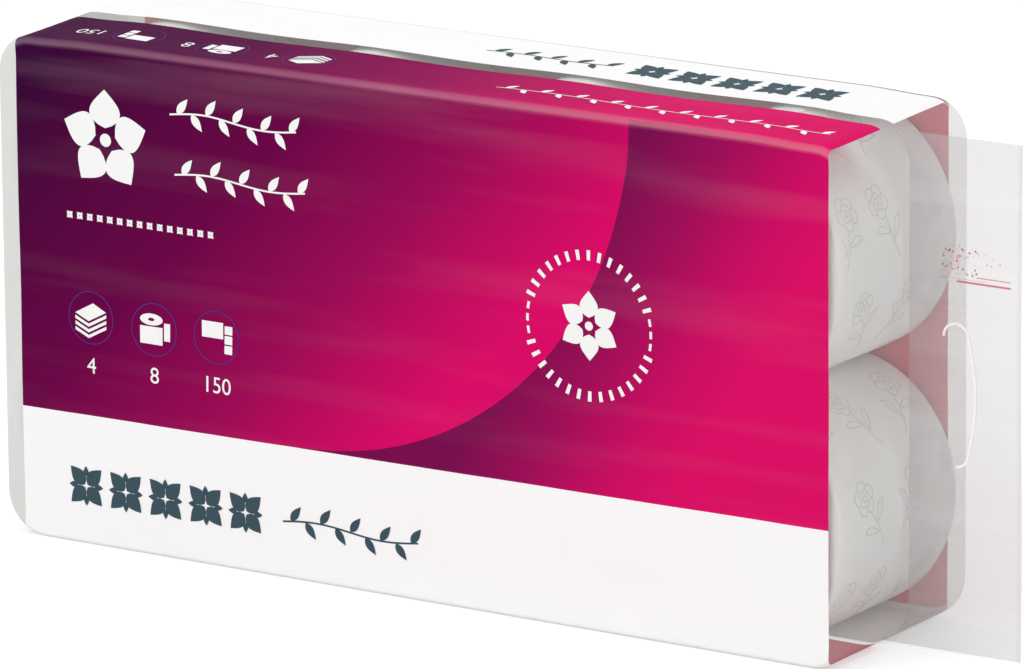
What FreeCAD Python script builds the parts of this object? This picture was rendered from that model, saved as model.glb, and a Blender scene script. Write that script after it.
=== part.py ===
"""Pack of eight toilet rolls in one printed film bag, standing on its long side.

X runs along the pack, Y from the front panel to the back one, Z up.
The origin is on the floor, under the middle of the bag's whole outline.
Lengths are in millimetres and angles in degrees.
"""

import FreeCAD, Part
import math
import os

import Sketcher

# Every size that can be set by itself.
SIZES = {
    "columns": 4,
    "rows": 2,
    "roll_width": 108.0,
    "roll_height": 114.4,
    "roll_length": 96.0,
    "roll_gap": 0.2,
    "core_width": 45.0,
    "core_wall": 1.2,
    "core_gap": 0.05,
    "film_wall": 0.3,
    "end_slack": 3.4,
    "face_slack": 1.7,
    "corner_round": 22.0,
    "fin_reach": 55.0,
    "fin_foot_gap": 1.2,
    "fin_head_gap": 2.4,
    "seal_reach": 8.0,
    "bead_width": 2.0,
    "bead_proud": 0.15,
    "slit_inset": 23.0,
    "slit_height": 63.0,
    "slit_rise": 114.8,
    "slit_hook_round": 6.0,
    "slit_side_round": 99.0,
    "slit_width": 1.0,
}

# What follows from them. The bag is as large as its rolls and the slack it leaves them.
# Its long edges are eased no further than the slack, so that they clear the rolls' rims.
# The fin is longer than the seal, so the middle of the outline is off the bag's own.
FOLLOWING = {
    "column_pitch": "sizes.roll_width + sizes.roll_gap",
    "row_pitch": "sizes.roll_height + sizes.roll_gap",
    "length": "sizes.columns * column_pitch - sizes.roll_gap"
    " + 2 * (sizes.end_slack + sizes.film_wall)",
    "depth": "sizes.roll_length + 2 * (sizes.face_slack + sizes.film_wall)",
    "height": "sizes.rows * row_pitch + sizes.roll_gap + 2 * sizes.film_wall",
    "inside_ease": "sizes.face_slack",
    "outside_ease": "inside_ease + (2 - sqrt(2)) * sizes.film_wall",
    "middle": "(sizes.seal_reach - sizes.fin_reach) / 2",
}

SYMMETRIC = "Symmetric"
START, END, CENTRE = 1, 2, 3
ORIGIN, X_AXIS, Z_AXIS = -1, -1, -2
RIGHTWARDS = FreeCAD.Vector(1, 0, 0)
BACKWARDS = FreeCAD.Vector(0, 1, 0)
UPWARDS = FreeCAD.Vector(0, 0, 1)


def make_sheet(doc):
    """Writes the driving sizes into the spreadsheet, one aliased cell each."""
    sheet = doc.addObject("Spreadsheet::Sheet", "sizes")
    for row, (alias, value) in enumerate(SIZES.items(), start=1):
        sheet.set(f"A{row}", alias)
        sheet.set(f"B{row}", str(value))
        sheet.setAlias(f"B{row}", alias)
    doc.recompute()
    return sheet


def make_following(doc):
    """Works out the sizes of the bag that follow from the sheet."""
    bag = doc.addObject("App::VarSet", "bag")
    for name, expression in FOLLOWING.items():
        bag.addProperty("App::PropertyFloat", name, "Following")
        bag.setExpression(name, expression)
    doc.recompute()
    return bag


def bind(thing, **expressions):
    """Ties properties of an object to expressions."""
    for name, expression in expressions.items():
        thing.setExpression(name, expression)


def bind_place(thing, along="bag.middle", across="0", up="0"):
    """Ties where an object stands to expressions."""
    for axis, expression in zip("xyz", (along, across, up)):
        thing.setExpression(f"Placement.Base.{axis}", expression)


def boolean(doc, kind, name, base, tool):
    """One solid cut by, fused with or kept inside another."""
    result = doc.addObject(f"Part::{kind}", name)
    result.Base = base
    result.Tool = tool
    return result


def front_sketch(body, name):
    """A sketch on the body's own front plane: its x is X and its y is Z."""
    plane = next(p for p in body.Origin.OriginFeatures if p.Role == "XZ_Plane")
    sketch = body.newObject("Sketcher::SketchObject", name)
    sketch.AttachmentSupport = [(plane, "")]
    sketch.MapMode = "FlatFace"
    return sketch


def fix(sketch, name, expression, *constraint):
    """Adds a sized constraint and ties its size to an expression."""
    index = sketch.addConstraint(Sketcher.Constraint(*constraint))
    sketch.renameConstraint(index, name)
    sketch.setExpression(f"Constraints.{name}", expression)


def join(sketch, kind, *groups):
    """Adds a constraint of one kind for each group of geometry and point numbers."""
    for group in groups:
        sketch.addConstraint(Sketcher.Constraint(kind, *group))


def point(x, y):
    """A point of a sketch."""
    return FreeCAD.Vector(x, y, 0)


def arc(centre, radius, first, last):
    """An arc of a sketch, counterclockwise between two points that lie on it."""
    angles = [math.atan2(p.y - centre.y, p.x - centre.x) for p in (first, last)]
    if angles[1] < angles[0]:
        angles[1] += 2 * math.pi
    return Part.ArcOfCircle(Part.Circle(centre, UPWARDS, radius), *angles)


def symmetric_pad(body, name, profile, length):
    """A pad that grows both ways from its sketch."""
    pad = body.newObject("PartDesign::Pad", name)
    pad.Profile = profile
    pad.SideType = SYMMETRIC
    bind(pad, Length=length)
    return pad


def bag_profile(body, sheet, bag, inset):
    """The bag's outline seen from the front, a rounded rectangle drawn inwards by an inset."""
    sketch = front_sketch(body, f"{body.Name}_profile")
    taken = sheet.film_wall if inset else 0.0
    taken_text = f" - {inset}" if inset else ""
    half_length, half_height = bag.length / 2 - taken, bag.height / 2 - taken
    radius = sheet.corner_round - taken
    level, upright = half_length - radius, half_height - radius

    # Counterclockwise from the right end of the bottom line, a line and an arc for each side.
    corners = [(1, -1), (1, 1), (-1, 1), (-1, -1)]
    lines, arcs = [], []
    for (x, y), (next_x, next_y) in zip(corners, corners[1:] + corners[:1]):
        if x == next_x:
            first = point(x * half_length, y * upright)
            last = point(x * half_length, next_y * upright)
            after = point(x * level, next_y * half_height)
        else:
            first = point(x * level, y * half_height)
            last = point(next_x * level, y * half_height)
            after = point(next_x * half_length, y * upright)
        lines.append(sketch.addGeometry(Part.LineSegment(first, last)))
        centre = point(next_x * level, next_y * upright)
        arcs.append(sketch.addGeometry(arc(centre, radius, last, after)))
    for number in range(len(corners)):
        join(
            sketch,
            "Tangent",
            (lines[number], END, arcs[number], START),
            (arcs[number - 1], END, lines[number], START),
        )
    right, top, left, bottom = lines
    join(sketch, "Symmetric", (right, START, right, END, X_AXIS))
    join(sketch, "Symmetric", *((line, START, line, END, Z_AXIS) for line in (top, bottom)))
    join(sketch, "Vertical", (left,))
    at = (ORIGIN, START)
    long_text, high_text = f"bag.length / 2{taken_text}", f"bag.height / 2{taken_text}"
    fix(sketch, "right_reach", long_text, "DistanceX", *at, right, START, half_length)
    fix(sketch, "left_reach", long_text, "DistanceX", left, START, *at, half_length)
    fix(sketch, "top_rise", high_text, "DistanceY", *at, top, START, half_height)
    fix(sketch, "bottom_fall", high_text, "DistanceY", bottom, START, *at, half_height)
    fix(sketch, "corner", f"sizes.corner_round{taken_text}", "Radius", arcs[0], radius)
    return sketch


def rim_edges(solid):
    """The names of the edges that run round the front and the back face of a block."""
    rim = max(vertex.Y for vertex in solid.Vertexes)
    names = []
    for number, edge in enumerate(solid.Edges, start=1):
        box = edge.BoundBox
        if box.YLength < rim / 2 and abs(box.Center.y) > rim / 2:
            names.append(f"Edge{number}")
    return names


def bag_block(doc, sheet, bag, name, ease, inset=""):
    """A body of the bag's form with its long edges eased, drawn inwards by an inset."""
    body = doc.addObject("PartDesign::Body", name)
    bind_place(body, up="bag.height / 2")
    taken = f" - 2 * {inset}" if inset else ""
    profile = bag_profile(body, sheet, bag, inset)
    block = symmetric_pad(body, f"{name}_block", profile, f"bag.depth{taken}")
    doc.recompute()
    easing = body.newObject("PartDesign::Chamfer", f"{name}_edges")
    easing.Base = (block, rim_edges(block.Shape))
    bind(easing, Size=ease)
    doc.recompute()
    return body


def rectangle(sketch, name, side, inner, outer, foot, head):
    """A rectangle beside the middle. side is 1 for the right and -1 for the left.

    Each of its two distances along X and two along Z is a pair of size and expression.
    """
    left, right = sorted((side * inner[0], side * outer[0]))
    corners = [
        point(left, -foot[0]),
        point(right, -foot[0]),
        point(right, head[0]),
        point(left, head[0]),
    ]
    lines = [
        sketch.addGeometry(Part.LineSegment(first, last))
        for first, last in zip(corners, corners[1:] + corners[:1])
    ]
    bottom, right_side, top, left_side = lines
    join(sketch, "Coincident", *((lines[n - 1], END, lines[n], START) for n in range(4)))
    join(sketch, "Horizontal", (bottom,), (top,))
    join(sketch, "Vertical", (right_side,), (left_side,))
    near, far = (left_side, right_side) if side > 0 else (right_side, left_side)
    at = (ORIGIN, START)
    for label, line, (size, expression) in (("inner", near, inner), ("outer", far, outer)):
        ends = (*at, line, START) if side > 0 else (line, START, *at)
        fix(sketch, f"{name}_{label}", expression, "DistanceX", *ends, size)
    fix(sketch, f"{name}_foot", foot[1], "DistanceY", bottom, START, *at, foot[0])
    fix(sketch, f"{name}_head", head[1], "DistanceY", *at, top, START, head[0])


def add_fins(body, sheet, bag):
    """The flattened film beyond both ends: the long carrying fin and the short seal."""
    half, half_text = bag.length / 2, "bag.length / 2"
    hidden = (half - sheet.corner_round, f"{half_text} - sizes.corner_round")
    fin_end = (half + sheet.fin_reach, f"{half_text} + sizes.fin_reach")
    seal_end = (half + sheet.seal_reach, f"{half_text} + sizes.seal_reach")
    foot = (bag.height / 2 - sheet.fin_foot_gap, "bag.height / 2 - sizes.fin_foot_gap")
    head = (bag.height / 2 - sheet.fin_head_gap, "bag.height / 2 - sizes.fin_head_gap")
    outline = front_sketch(body, "fin_outline")
    rectangle(outline, "fin", 1, hidden, fin_end, foot, head)
    rectangle(outline, "seal", -1, hidden, seal_end, foot, head)
    symmetric_pad(body, "fin_layers", outline, "2 * sizes.film_wall")

    beads = front_sketch(body, "bead_outline")
    for name, side, (size, text) in (("fin", 1, fin_end), ("seal", -1, seal_end)):
        inner = (size - sheet.bead_width, f"{text} - sizes.bead_width")
        rectangle(beads, f"{name}_bead", side, inner, (size, text), foot, head)
    symmetric_pad(body, "welded_beads", beads, "2 * (sizes.film_wall + sizes.bead_proud)")


def slit_outline(body, sheet, bag):
    """The finger slit as a curved slot: a hook, a long easy side and a quarter hook.

    Both edges keep the same centres, so the slot is as wide all along its middle line.
    """
    sketch = front_sketch(body, "slit_outline")
    hook, side, half_width = sheet.slit_hook_round, sheet.slit_side_round, sheet.slit_width / 2
    along = bag.length / 2 + sheet.slit_inset
    middle = sheet.slit_rise - bag.height / 2
    spread = sheet.slit_height / 2 - hook
    top = point(along, middle + spread)
    bottom = point(along, middle - spread)
    long_centre = point(along - math.sqrt((side - hook) ** 2 - spread**2), middle)
    to_top, to_bottom = ((p - long_centre).normalize() for p in (top, bottom))

    def edge(offset):
        """The three arcs on one side of the slot's middle line, from the top down."""
        small, large = hook + offset, side + offset
        meet_top = long_centre + to_top * large
        meet_bottom = long_centre + to_bottom * large
        arcs = (
            arc(top, small, meet_top, top + point(-small, 0)),
            arc(long_centre, large, meet_bottom, meet_top),
            arc(bottom, small, bottom + point(0, -small), meet_bottom),
        )
        return [sketch.addGeometry(item) for item in arcs]

    outer, inner = edge(half_width), edge(-half_width)
    for arcs in (outer, inner):
        join(sketch, "Tangent", (arcs[1], END, arcs[0], START), (arcs[2], END, arcs[1], START))
    join(sketch, "Coincident", *((o, CENTRE, i, CENTRE) for o, i in zip(outer, inner)))
    for kind, number, end in (("Horizontal", 0, END), ("Vertical", 2, START)):
        ends = [sketch.getPoint(arcs[number], end) for arcs in (outer, inner)]
        cap = sketch.addGeometry(Part.LineSegment(*ends))
        join(sketch, "Coincident", (outer[number], end, cap, START), (inner[number], end, cap, END))
        join(sketch, kind, (cap,), (outer[number], end, outer[number], CENTRE))
    join(sketch, "Equal", (outer[0], outer[2]))

    at = (ORIGIN, START)
    along_text = "bag.length / 2 + sizes.slit_inset"
    spread_text = "sizes.slit_height / 2 - sizes.slit_hook_round"
    top_text = f"{spread_text} + sizes.slit_rise - bag.height / 2"
    bottom_text = f"{spread_text} - sizes.slit_rise + bag.height / 2"
    half_text = "sizes.slit_width / 2"
    fix(sketch, "top_along", along_text, "DistanceX", *at, outer[0], CENTRE, along)
    fix(sketch, "bottom_along", along_text, "DistanceX", *at, outer[2], CENTRE, along)
    fix(sketch, "top_rise", top_text, "DistanceY", *at, outer[0], CENTRE, top.y)
    fix(sketch, "bottom_fall", bottom_text, "DistanceY", outer[2], CENTRE, *at, -bottom.y)
    for name, text, geometry, size in (
        ("outer_hook", f"sizes.slit_hook_round + {half_text}", outer[0], hook + half_width),
        ("inner_hook", f"sizes.slit_hook_round - {half_text}", inner[0], hook - half_width),
        ("outer_side", f"sizes.slit_side_round + {half_text}", outer[1], side + half_width),
    ):
        fix(sketch, name, text, "Radius", geometry, size)
    return sketch


def film_wrap(doc, sheet, bag):
    """The printed film: a thin closed bag, its fin, its seal and the slit cut in the fin."""
    outside = bag_block(doc, sheet, bag, "bag_outside", "bag.outside_ease")
    add_fins(outside, sheet, bag)
    slit = outside.newObject("PartDesign::Pocket", "finger_slit")
    slit.Profile = slit_outline(outside, sheet, bag)
    slit.SideType = SYMMETRIC
    bind(slit, Length="4 * (sizes.film_wall + sizes.bead_proud)")
    cavity = bag_block(doc, sheet, bag, "bag_cavity", "bag.inside_ease", "sizes.film_wall")
    return boolean(doc, "Cut", "film_wrap", outside, cavity)


def oval_block(doc, sheet, name):
    """A roll's form, an oval pressed flatter along X or along Z and grown along Y."""
    oval = doc.addObject("Part::Ellipse", f"{name}_oval")
    radii = ["sizes.roll_height / 2", "sizes.roll_width / 2"]
    oval.Placement.Rotation = FreeCAD.Rotation(UPWARDS, RIGHTWARDS, BACKWARDS, "XZY")
    if sheet.roll_width > sheet.roll_height:
        radii.reverse()
        oval.Placement.Rotation = FreeCAD.Rotation(RIGHTWARDS, 90)
    bind(oval, MajorRadius=radii[0], MinorRadius=radii[1])
    block = doc.addObject("Part::Extrusion", name)
    block.Base = oval
    block.DirMode = "Custom"
    block.Dir = BACKWARDS
    block.Solid = True
    block.Symmetric = True
    bind(block, LengthFwd="sizes.roll_length")
    return block


def lying_cylinder(doc, name, radius):
    """A cylinder as long as a roll, along Y with its middle at the origin."""
    cylinder = doc.addObject("Part::Cylinder", name)
    bind(cylinder, Radius=radius, Height="sizes.roll_length")
    cylinder.Placement.Rotation = FreeCAD.Rotation(RIGHTWARDS, 90)
    cylinder.setExpression("Placement.Base.y", "sizes.roll_length / 2")
    return cylinder


def paper_roll(doc, sheet, number, along, up):
    """The paper of one roll, wound in one piece round the hole for its core."""
    name = f"roll_{number}"
    wound = oval_block(doc, sheet, f"{name}_wound")
    hole = lying_cylinder(doc, f"{name}_hole", "sizes.core_width / 2 + sizes.core_gap")
    paper = boolean(doc, "Cut", name, wound, hole)
    bind_place(paper, along, "0", up)
    return paper


def core_tube(doc, number, along, up):
    """The board tube in the middle of one roll."""
    outside = lying_cylinder(doc, f"core_{number}_outside", "sizes.core_width / 2")
    inside = lying_cylinder(doc, f"core_{number}_inside", "sizes.core_width / 2 - sizes.core_wall")
    core = boolean(doc, "Cut", f"core_{number}", outside, inside)
    bind_place(core, along, "0", up)
    return core


def build_rolls(doc, sheet):
    """All the rolls and cores, row by row from the left of the bottom row."""
    pieces = []
    for row in range(int(sheet.rows)):
        up = f"sizes.film_wall + sizes.roll_gap + sizes.roll_height / 2 + {row} * bag.row_pitch"
        for column in range(int(sheet.columns)):
            number = row * int(sheet.columns) + column + 1
            along = f"bag.middle + ({column} - (sizes.columns - 1) / 2) * bag.column_pitch"
            pieces.append(paper_roll(doc, sheet, number, along, up))
            pieces.append(core_tube(doc, number, along, up))
    return pieces


def check(doc, pieces):
    """Stops before anything is written if an object failed or a piece isn't one solid."""
    failed = [o.Name for o in doc.Objects if {"Invalid", "Error"} & set(o.State)]
    if failed:
        raise RuntimeError(f"failed objects: {failed}")
    for piece in pieces:
        shape = piece.Shape
        if shape.isNull() or not shape.isValid() or len(shape.Solids) != 1:
            raise RuntimeError(f"{piece.Label} isn't one valid solid")


def main():
    """Builds the document and writes each piece to its own file."""
    doc = FreeCAD.newDocument("toilet_roll_pack")
    sheet = make_sheet(doc)
    bag = make_following(doc)
    pieces = [film_wrap(doc, sheet, bag), *build_rolls(doc, sheet)]
    doc.recompute()
    check(doc, pieces)
    os.makedirs("parts", exist_ok=True)
    for piece in pieces:
        piece.Shape.exportStep(f"parts/{piece.Label}.step")


main()
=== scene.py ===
"""Looks of a pack of toilet rolls: the printed film bag, its carrying fin, the rolls and the cores.

Every length is in metres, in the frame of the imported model: X runs along the pack to the fin,
Y from the front panel to the back one, Z up. Print is placed by the film's own flat sheet: u is
the distance along the pack from the bag's middle, v the distance round it from the foot of the
front panel, up over the top and down the back, or below zero back along the underside.
"""

from __future__ import annotations

import logging
import math
from dataclasses import dataclass, field
from enum import Enum

import bmesh
import bpy
import numpy as np
from mathutils import Matrix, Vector
from mathutils.geometry import delaunay_2d_cdt

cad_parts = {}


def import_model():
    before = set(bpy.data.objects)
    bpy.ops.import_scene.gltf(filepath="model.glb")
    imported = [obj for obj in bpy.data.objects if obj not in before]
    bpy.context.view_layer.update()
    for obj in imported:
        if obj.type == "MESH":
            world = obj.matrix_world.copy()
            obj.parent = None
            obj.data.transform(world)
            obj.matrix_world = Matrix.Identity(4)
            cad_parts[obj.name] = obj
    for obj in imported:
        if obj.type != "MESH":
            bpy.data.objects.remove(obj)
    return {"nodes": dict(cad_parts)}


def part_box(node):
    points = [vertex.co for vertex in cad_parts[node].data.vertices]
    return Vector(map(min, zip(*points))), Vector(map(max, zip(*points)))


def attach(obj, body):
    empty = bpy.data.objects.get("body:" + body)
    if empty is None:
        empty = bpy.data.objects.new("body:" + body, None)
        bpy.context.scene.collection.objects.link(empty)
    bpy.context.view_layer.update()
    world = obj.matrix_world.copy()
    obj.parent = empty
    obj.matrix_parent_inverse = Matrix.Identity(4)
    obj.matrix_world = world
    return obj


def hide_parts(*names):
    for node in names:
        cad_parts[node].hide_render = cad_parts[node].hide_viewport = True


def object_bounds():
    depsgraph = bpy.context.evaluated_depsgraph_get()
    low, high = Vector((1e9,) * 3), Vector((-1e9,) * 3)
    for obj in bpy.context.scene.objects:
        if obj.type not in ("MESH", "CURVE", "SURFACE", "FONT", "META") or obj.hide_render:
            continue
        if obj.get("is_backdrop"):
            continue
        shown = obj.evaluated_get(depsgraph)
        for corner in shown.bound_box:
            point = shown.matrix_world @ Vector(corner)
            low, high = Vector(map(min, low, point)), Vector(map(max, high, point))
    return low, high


LOG = logging.getLogger("toilet_roll_pack")
MM = 0.001
SHEET_MAP = "sheet"
# Height of the ink over the film, and the step between shapes that may cross each other.
INK_LIFT = 0.00010
INK_STEP = 0.00002


class Side(Enum):
    """A face of the bag that carries printed ornaments."""

    FRONT = "front"
    TOP = "top"


def srgb(red: float, green: float, blue: float) -> tuple[float, float, float, float]:
    """Turns a colour of 0 to 255 a channel into linear light.

    Args:
        red: Red channel.
        green: Green channel.
        blue: Blue channel.

    Returns:
        The four linear channels, opaque.
    """
    channels = np.array([red, green, blue]) / 255.0
    linear = np.where(channels <= 0.04045, channels / 12.92, ((channels + 0.055) / 1.055) ** 2.4)
    return (*linear.tolist(), 1.0)


def smoothstep(low: float, high: float, value: np.ndarray) -> np.ndarray:
    """Rises smoothly from 0 at low to 1 at high: t * t * (3 - 2 t) of the share t between them.

    Args:
        low: Where the rise begins.
        high: Where it ends.
        value: Numbers to place between them.

    Returns:
        The share at each number.
    """
    share = np.clip((value - low) / (high - low), 0.0, 1.0)
    return share * share * (3.0 - 2.0 * share)


@dataclass
class MeshParts:
    """Surfaces that are gathered into one mesh, each a grid of points or a list of triangles."""

    vertices: list[np.ndarray] = field(default_factory=list)
    sheets: list[np.ndarray] = field(default_factory=list)
    faces: list[list[int]] = field(default_factory=list)
    slots: list[int] = field(default_factory=list)
    count: int = 0

    def add_grid(
        self,
        points: np.ndarray,
        sheet: np.ndarray | None = None,
        slot: int = 0,
        closed_rows: bool = False,
        closed_columns: bool = False,
    ) -> None:
        """Adds a grid of points as four-sided faces between neighbours.

        Args:
            points: Array of rows by columns by 3.
            sheet: Sheet coordinates, rows by columns by 2, or None for zeros.
            slot: Material slot of the faces.
            closed_rows: Whether the last row joins the first one.
            closed_columns: Whether the last column joins the first one.
        """
        rows, columns = points.shape[:2]
        numbers = np.arange(rows * columns).reshape(rows, columns) + self.count
        if closed_rows:
            numbers = np.vstack([numbers, numbers[:1]])
        if closed_columns:
            numbers = np.hstack([numbers, numbers[:, :1]])
        quads = np.stack(
            [numbers[:-1, :-1], numbers[1:, :-1], numbers[1:, 1:], numbers[:-1, 1:]], axis=-1
        ).reshape(-1, 4)
        flat = sheet if sheet is not None else np.zeros((rows, columns, 2))
        self.vertices.append(points.reshape(-1, 3))
        self.sheets.append(flat.reshape(-1, 2))
        self.faces.extend(quads.tolist())
        self.slots.extend([slot] * len(quads))
        self.count += rows * columns

    def add_faces(self, points: np.ndarray, faces: list[list[int]], slot: int = 0) -> None:
        """Adds loose points with faces that number them from 0.

        Args:
            points: Array of points by 3.
            faces: Point numbers of each face.
            slot: Material slot of the faces.
        """
        self.vertices.append(points)
        self.sheets.append(np.zeros((len(points), 2)))
        self.faces.extend([[number + self.count for number in face] for face in faces])
        self.slots.extend([slot] * len(faces))
        self.count += len(points)

    def build(
        self, name: str, materials: list[bpy.types.Material], outwards: bool = True
    ) -> bpy.types.Object:
        """Makes the gathered surfaces into one object with smooth faces.

        Args:
            name: Name of the object and its mesh.
            materials: Materials of its slots, in order.
            outwards: Whether the faces of this closed shell are turned to point outwards.

        Returns:
            The new object, at the origin.
        """
        mesh = bpy.data.meshes.new(name)
        mesh.from_pydata(np.concatenate(self.vertices).tolist(), [], self.faces)
        layer = mesh.uv_layers.new(name=SHEET_MAP)
        corners = np.empty(len(mesh.loops), dtype=np.int64)
        mesh.loops.foreach_get("vertex_index", corners)
        layer.data.foreach_set("uv", np.concatenate(self.sheets)[corners].ravel())
        mesh.polygons.foreach_set("material_index", np.array(self.slots, dtype=np.int32))
        mesh.polygons.foreach_set("use_smooth", np.ones(len(self.faces), dtype=bool))
        for material in materials:
            mesh.materials.append(material)
        if outwards:
            shell = bmesh.new()
            shell.from_mesh(mesh)
            bmesh.ops.remove_doubles(shell, verts=shell.verts, dist=1e-6)
            bmesh.ops.recalc_face_normals(shell, faces=shell.faces)
            shell.to_mesh(mesh)
            shell.free()
        mesh.update()
        piece = bpy.data.objects.new(name, mesh)
        bpy.context.scene.collection.objects.link(piece)
        return piece


@dataclass
class Graph:
    """A node tree, with short calls for the nodes that the finishes are made of."""

    tree: bpy.types.NodeTree

    def node(self, kind: str, **settings: object) -> bpy.types.Node:
        """Adds a node and sets its properties.

        Args:
            kind: Blender's name of the node type.
            **settings: Properties of the node.

        Returns:
            The new node.
        """
        node = self.tree.nodes.new(kind)
        for name, value in settings.items():
            setattr(node, name, value)
        return node

    def feed(self, target: bpy.types.NodeSocket, value: object) -> None:
        """Links a socket into the target, or sets the target to a plain value.

        Args:
            target: Input socket.
            value: Output socket, number or colour.
        """
        if isinstance(value, bpy.types.NodeSocket):
            self.tree.links.new(value, target)
        else:
            target.default_value = value

    def math(self, operation: str, *values: object, clamp: bool = False) -> bpy.types.NodeSocket:
        """Works out one operation on numbers.

        Args:
            operation: Blender's name of the operation.
            *values: Sockets or numbers.
            clamp: Whether the result is kept between 0 and 1.

        Returns:
            The result's socket.
        """
        node = self.node("ShaderNodeMath", operation=operation, use_clamp=clamp)
        for target, value in zip(node.inputs, values):
            self.feed(target, value)
        return node.outputs["Value"]

    def mix(self, share: object, first: object, second: object) -> bpy.types.NodeSocket:
        """Mixes two colours.

        Args:
            share: Share of the second one.
            first: Colour or socket.
            second: Colour or socket.

        Returns:
            The mixed colour's socket.
        """
        node = self.node("ShaderNodeMix", data_type="RGBA")
        self.feed(node.inputs[0], share)
        self.feed(node.inputs[6], first)
        self.feed(node.inputs[7], second)
        return node.outputs[2]

    def ramp(
        self, value: object, low: float, high: float, stops: list[tuple[float, tuple]]
    ) -> bpy.types.NodeSocket:
        """Colours a number by its place between two limits.

        Args:
            value: The number's socket.
            low: Number at the ramp's start.
            high: Number at its end.
            stops: Share of the ramp and colour of each stop.

        Returns:
            The colour's socket.
        """
        span = self.node("ShaderNodeMapRange")
        self.feed(span.inputs["Value"], value)
        span.inputs["From Min"].default_value = low
        span.inputs["From Max"].default_value = high
        ramp = self.node("ShaderNodeValToRGB")
        points = ramp.color_ramp.elements
        while len(points) < len(stops):
            points.new(0.5)
        for point, (place, colour) in zip(points, stops):
            point.position = place
            point.color = colour
        self.feed(ramp.inputs["Fac"], span.outputs["Result"])
        return ramp.outputs["Color"]

    def noise(
        self, vector: object, stretch: tuple[float, float, float], detail: float, turn: float = 0.0
    ) -> bpy.types.NodeSocket:
        """Makes soft noise, stretched by a different scale on each axis.

        Args:
            vector: Coordinates to read.
            stretch: Waves a metre along each axis.
            detail: Octaves of finer noise.
            turn: Turn about the third axis, in radians.

        Returns:
            The noise's socket, about 0.5 on average.
        """
        mapping = self.node("ShaderNodeMapping")
        self.feed(mapping.inputs["Vector"], vector)
        mapping.inputs["Rotation"].default_value = (0.0, 0.0, turn)
        mapping.inputs["Scale"].default_value = stretch
        noise = self.node("ShaderNodeTexNoise")
        noise.inputs["Scale"].default_value = 1.0
        noise.inputs["Detail"].default_value = detail
        self.feed(noise.inputs["Vector"], mapping.outputs["Vector"])
        return noise.outputs["Fac"]

    def bump(self, height: object, distance: float, strength: float) -> bpy.types.NodeSocket:
        """Turns a height into a normal.

        Args:
            height: The height's socket.
            distance: Height of a full step, in metres.
            strength: Share of it that shows.

        Returns:
            The normal's socket.
        """
        node = self.node("ShaderNodeBump")
        node.inputs["Distance"].default_value = distance
        node.inputs["Strength"].default_value = strength
        self.feed(node.inputs["Height"], height)
        return node.outputs["Normal"]


def film_creases() -> bpy.types.NodeTree:
    """Makes the group that all the film shares: long soft puckers and fine short creases.

    Returns:
        The group, with the sheet vector in, and a height and streaks of haze and painted sheen from
        0 to 1 out.
    """
    group = bpy.data.node_groups.new("film_creases", "ShaderNodeTree")
    group.interface.new_socket("Vector", in_out="INPUT", socket_type="NodeSocketVector")
    group.interface.new_socket("Height", in_out="OUTPUT", socket_type="NodeSocketFloat")
    group.interface.new_socket("HazeAndSheen", in_out="OUTPUT", socket_type="NodeSocketFloat")
    graph = Graph(group)
    vector = graph.node("NodeGroupInput").outputs["Vector"]
    puckers = graph.noise(vector, (5.0, 34.0, 1.0), 2.0, 0.10)
    creases = graph.noise(vector, (26.0, 120.0, 1.0), 3.0, -0.22)
    # Long streaks that set the film's roughness and also pale its colour as painted sheen.
    streaks = graph.noise(vector, (3.2, 46.0, 1.0), 4.0, 0.13)
    faint = graph.math("MULTIPLY", creases, 0.16)
    height = graph.math("ADD", puckers, faint)
    sharper = graph.math("SUBTRACT", streaks, 0.5)
    haze_and_sheen = graph.math("MULTIPLY", sharper, 4.0, clamp=True)
    result = graph.node("NodeGroupOutput")
    graph.feed(result.inputs["Height"], height)
    graph.feed(result.inputs["HazeAndSheen"], haze_and_sheen)
    return group


def new_material(name: str) -> tuple[bpy.types.Material, Graph, bpy.types.Node]:
    """Makes a material with a bare Principled shader.

    Args:
        name: Name of the material.

    Returns:
        The material, its graph and its shader.
    """
    material = bpy.data.materials.new(name)
    material.use_nodes = True
    graph = Graph(material.node_tree)
    return material, graph, material.node_tree.nodes["Principled BSDF"]


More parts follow.
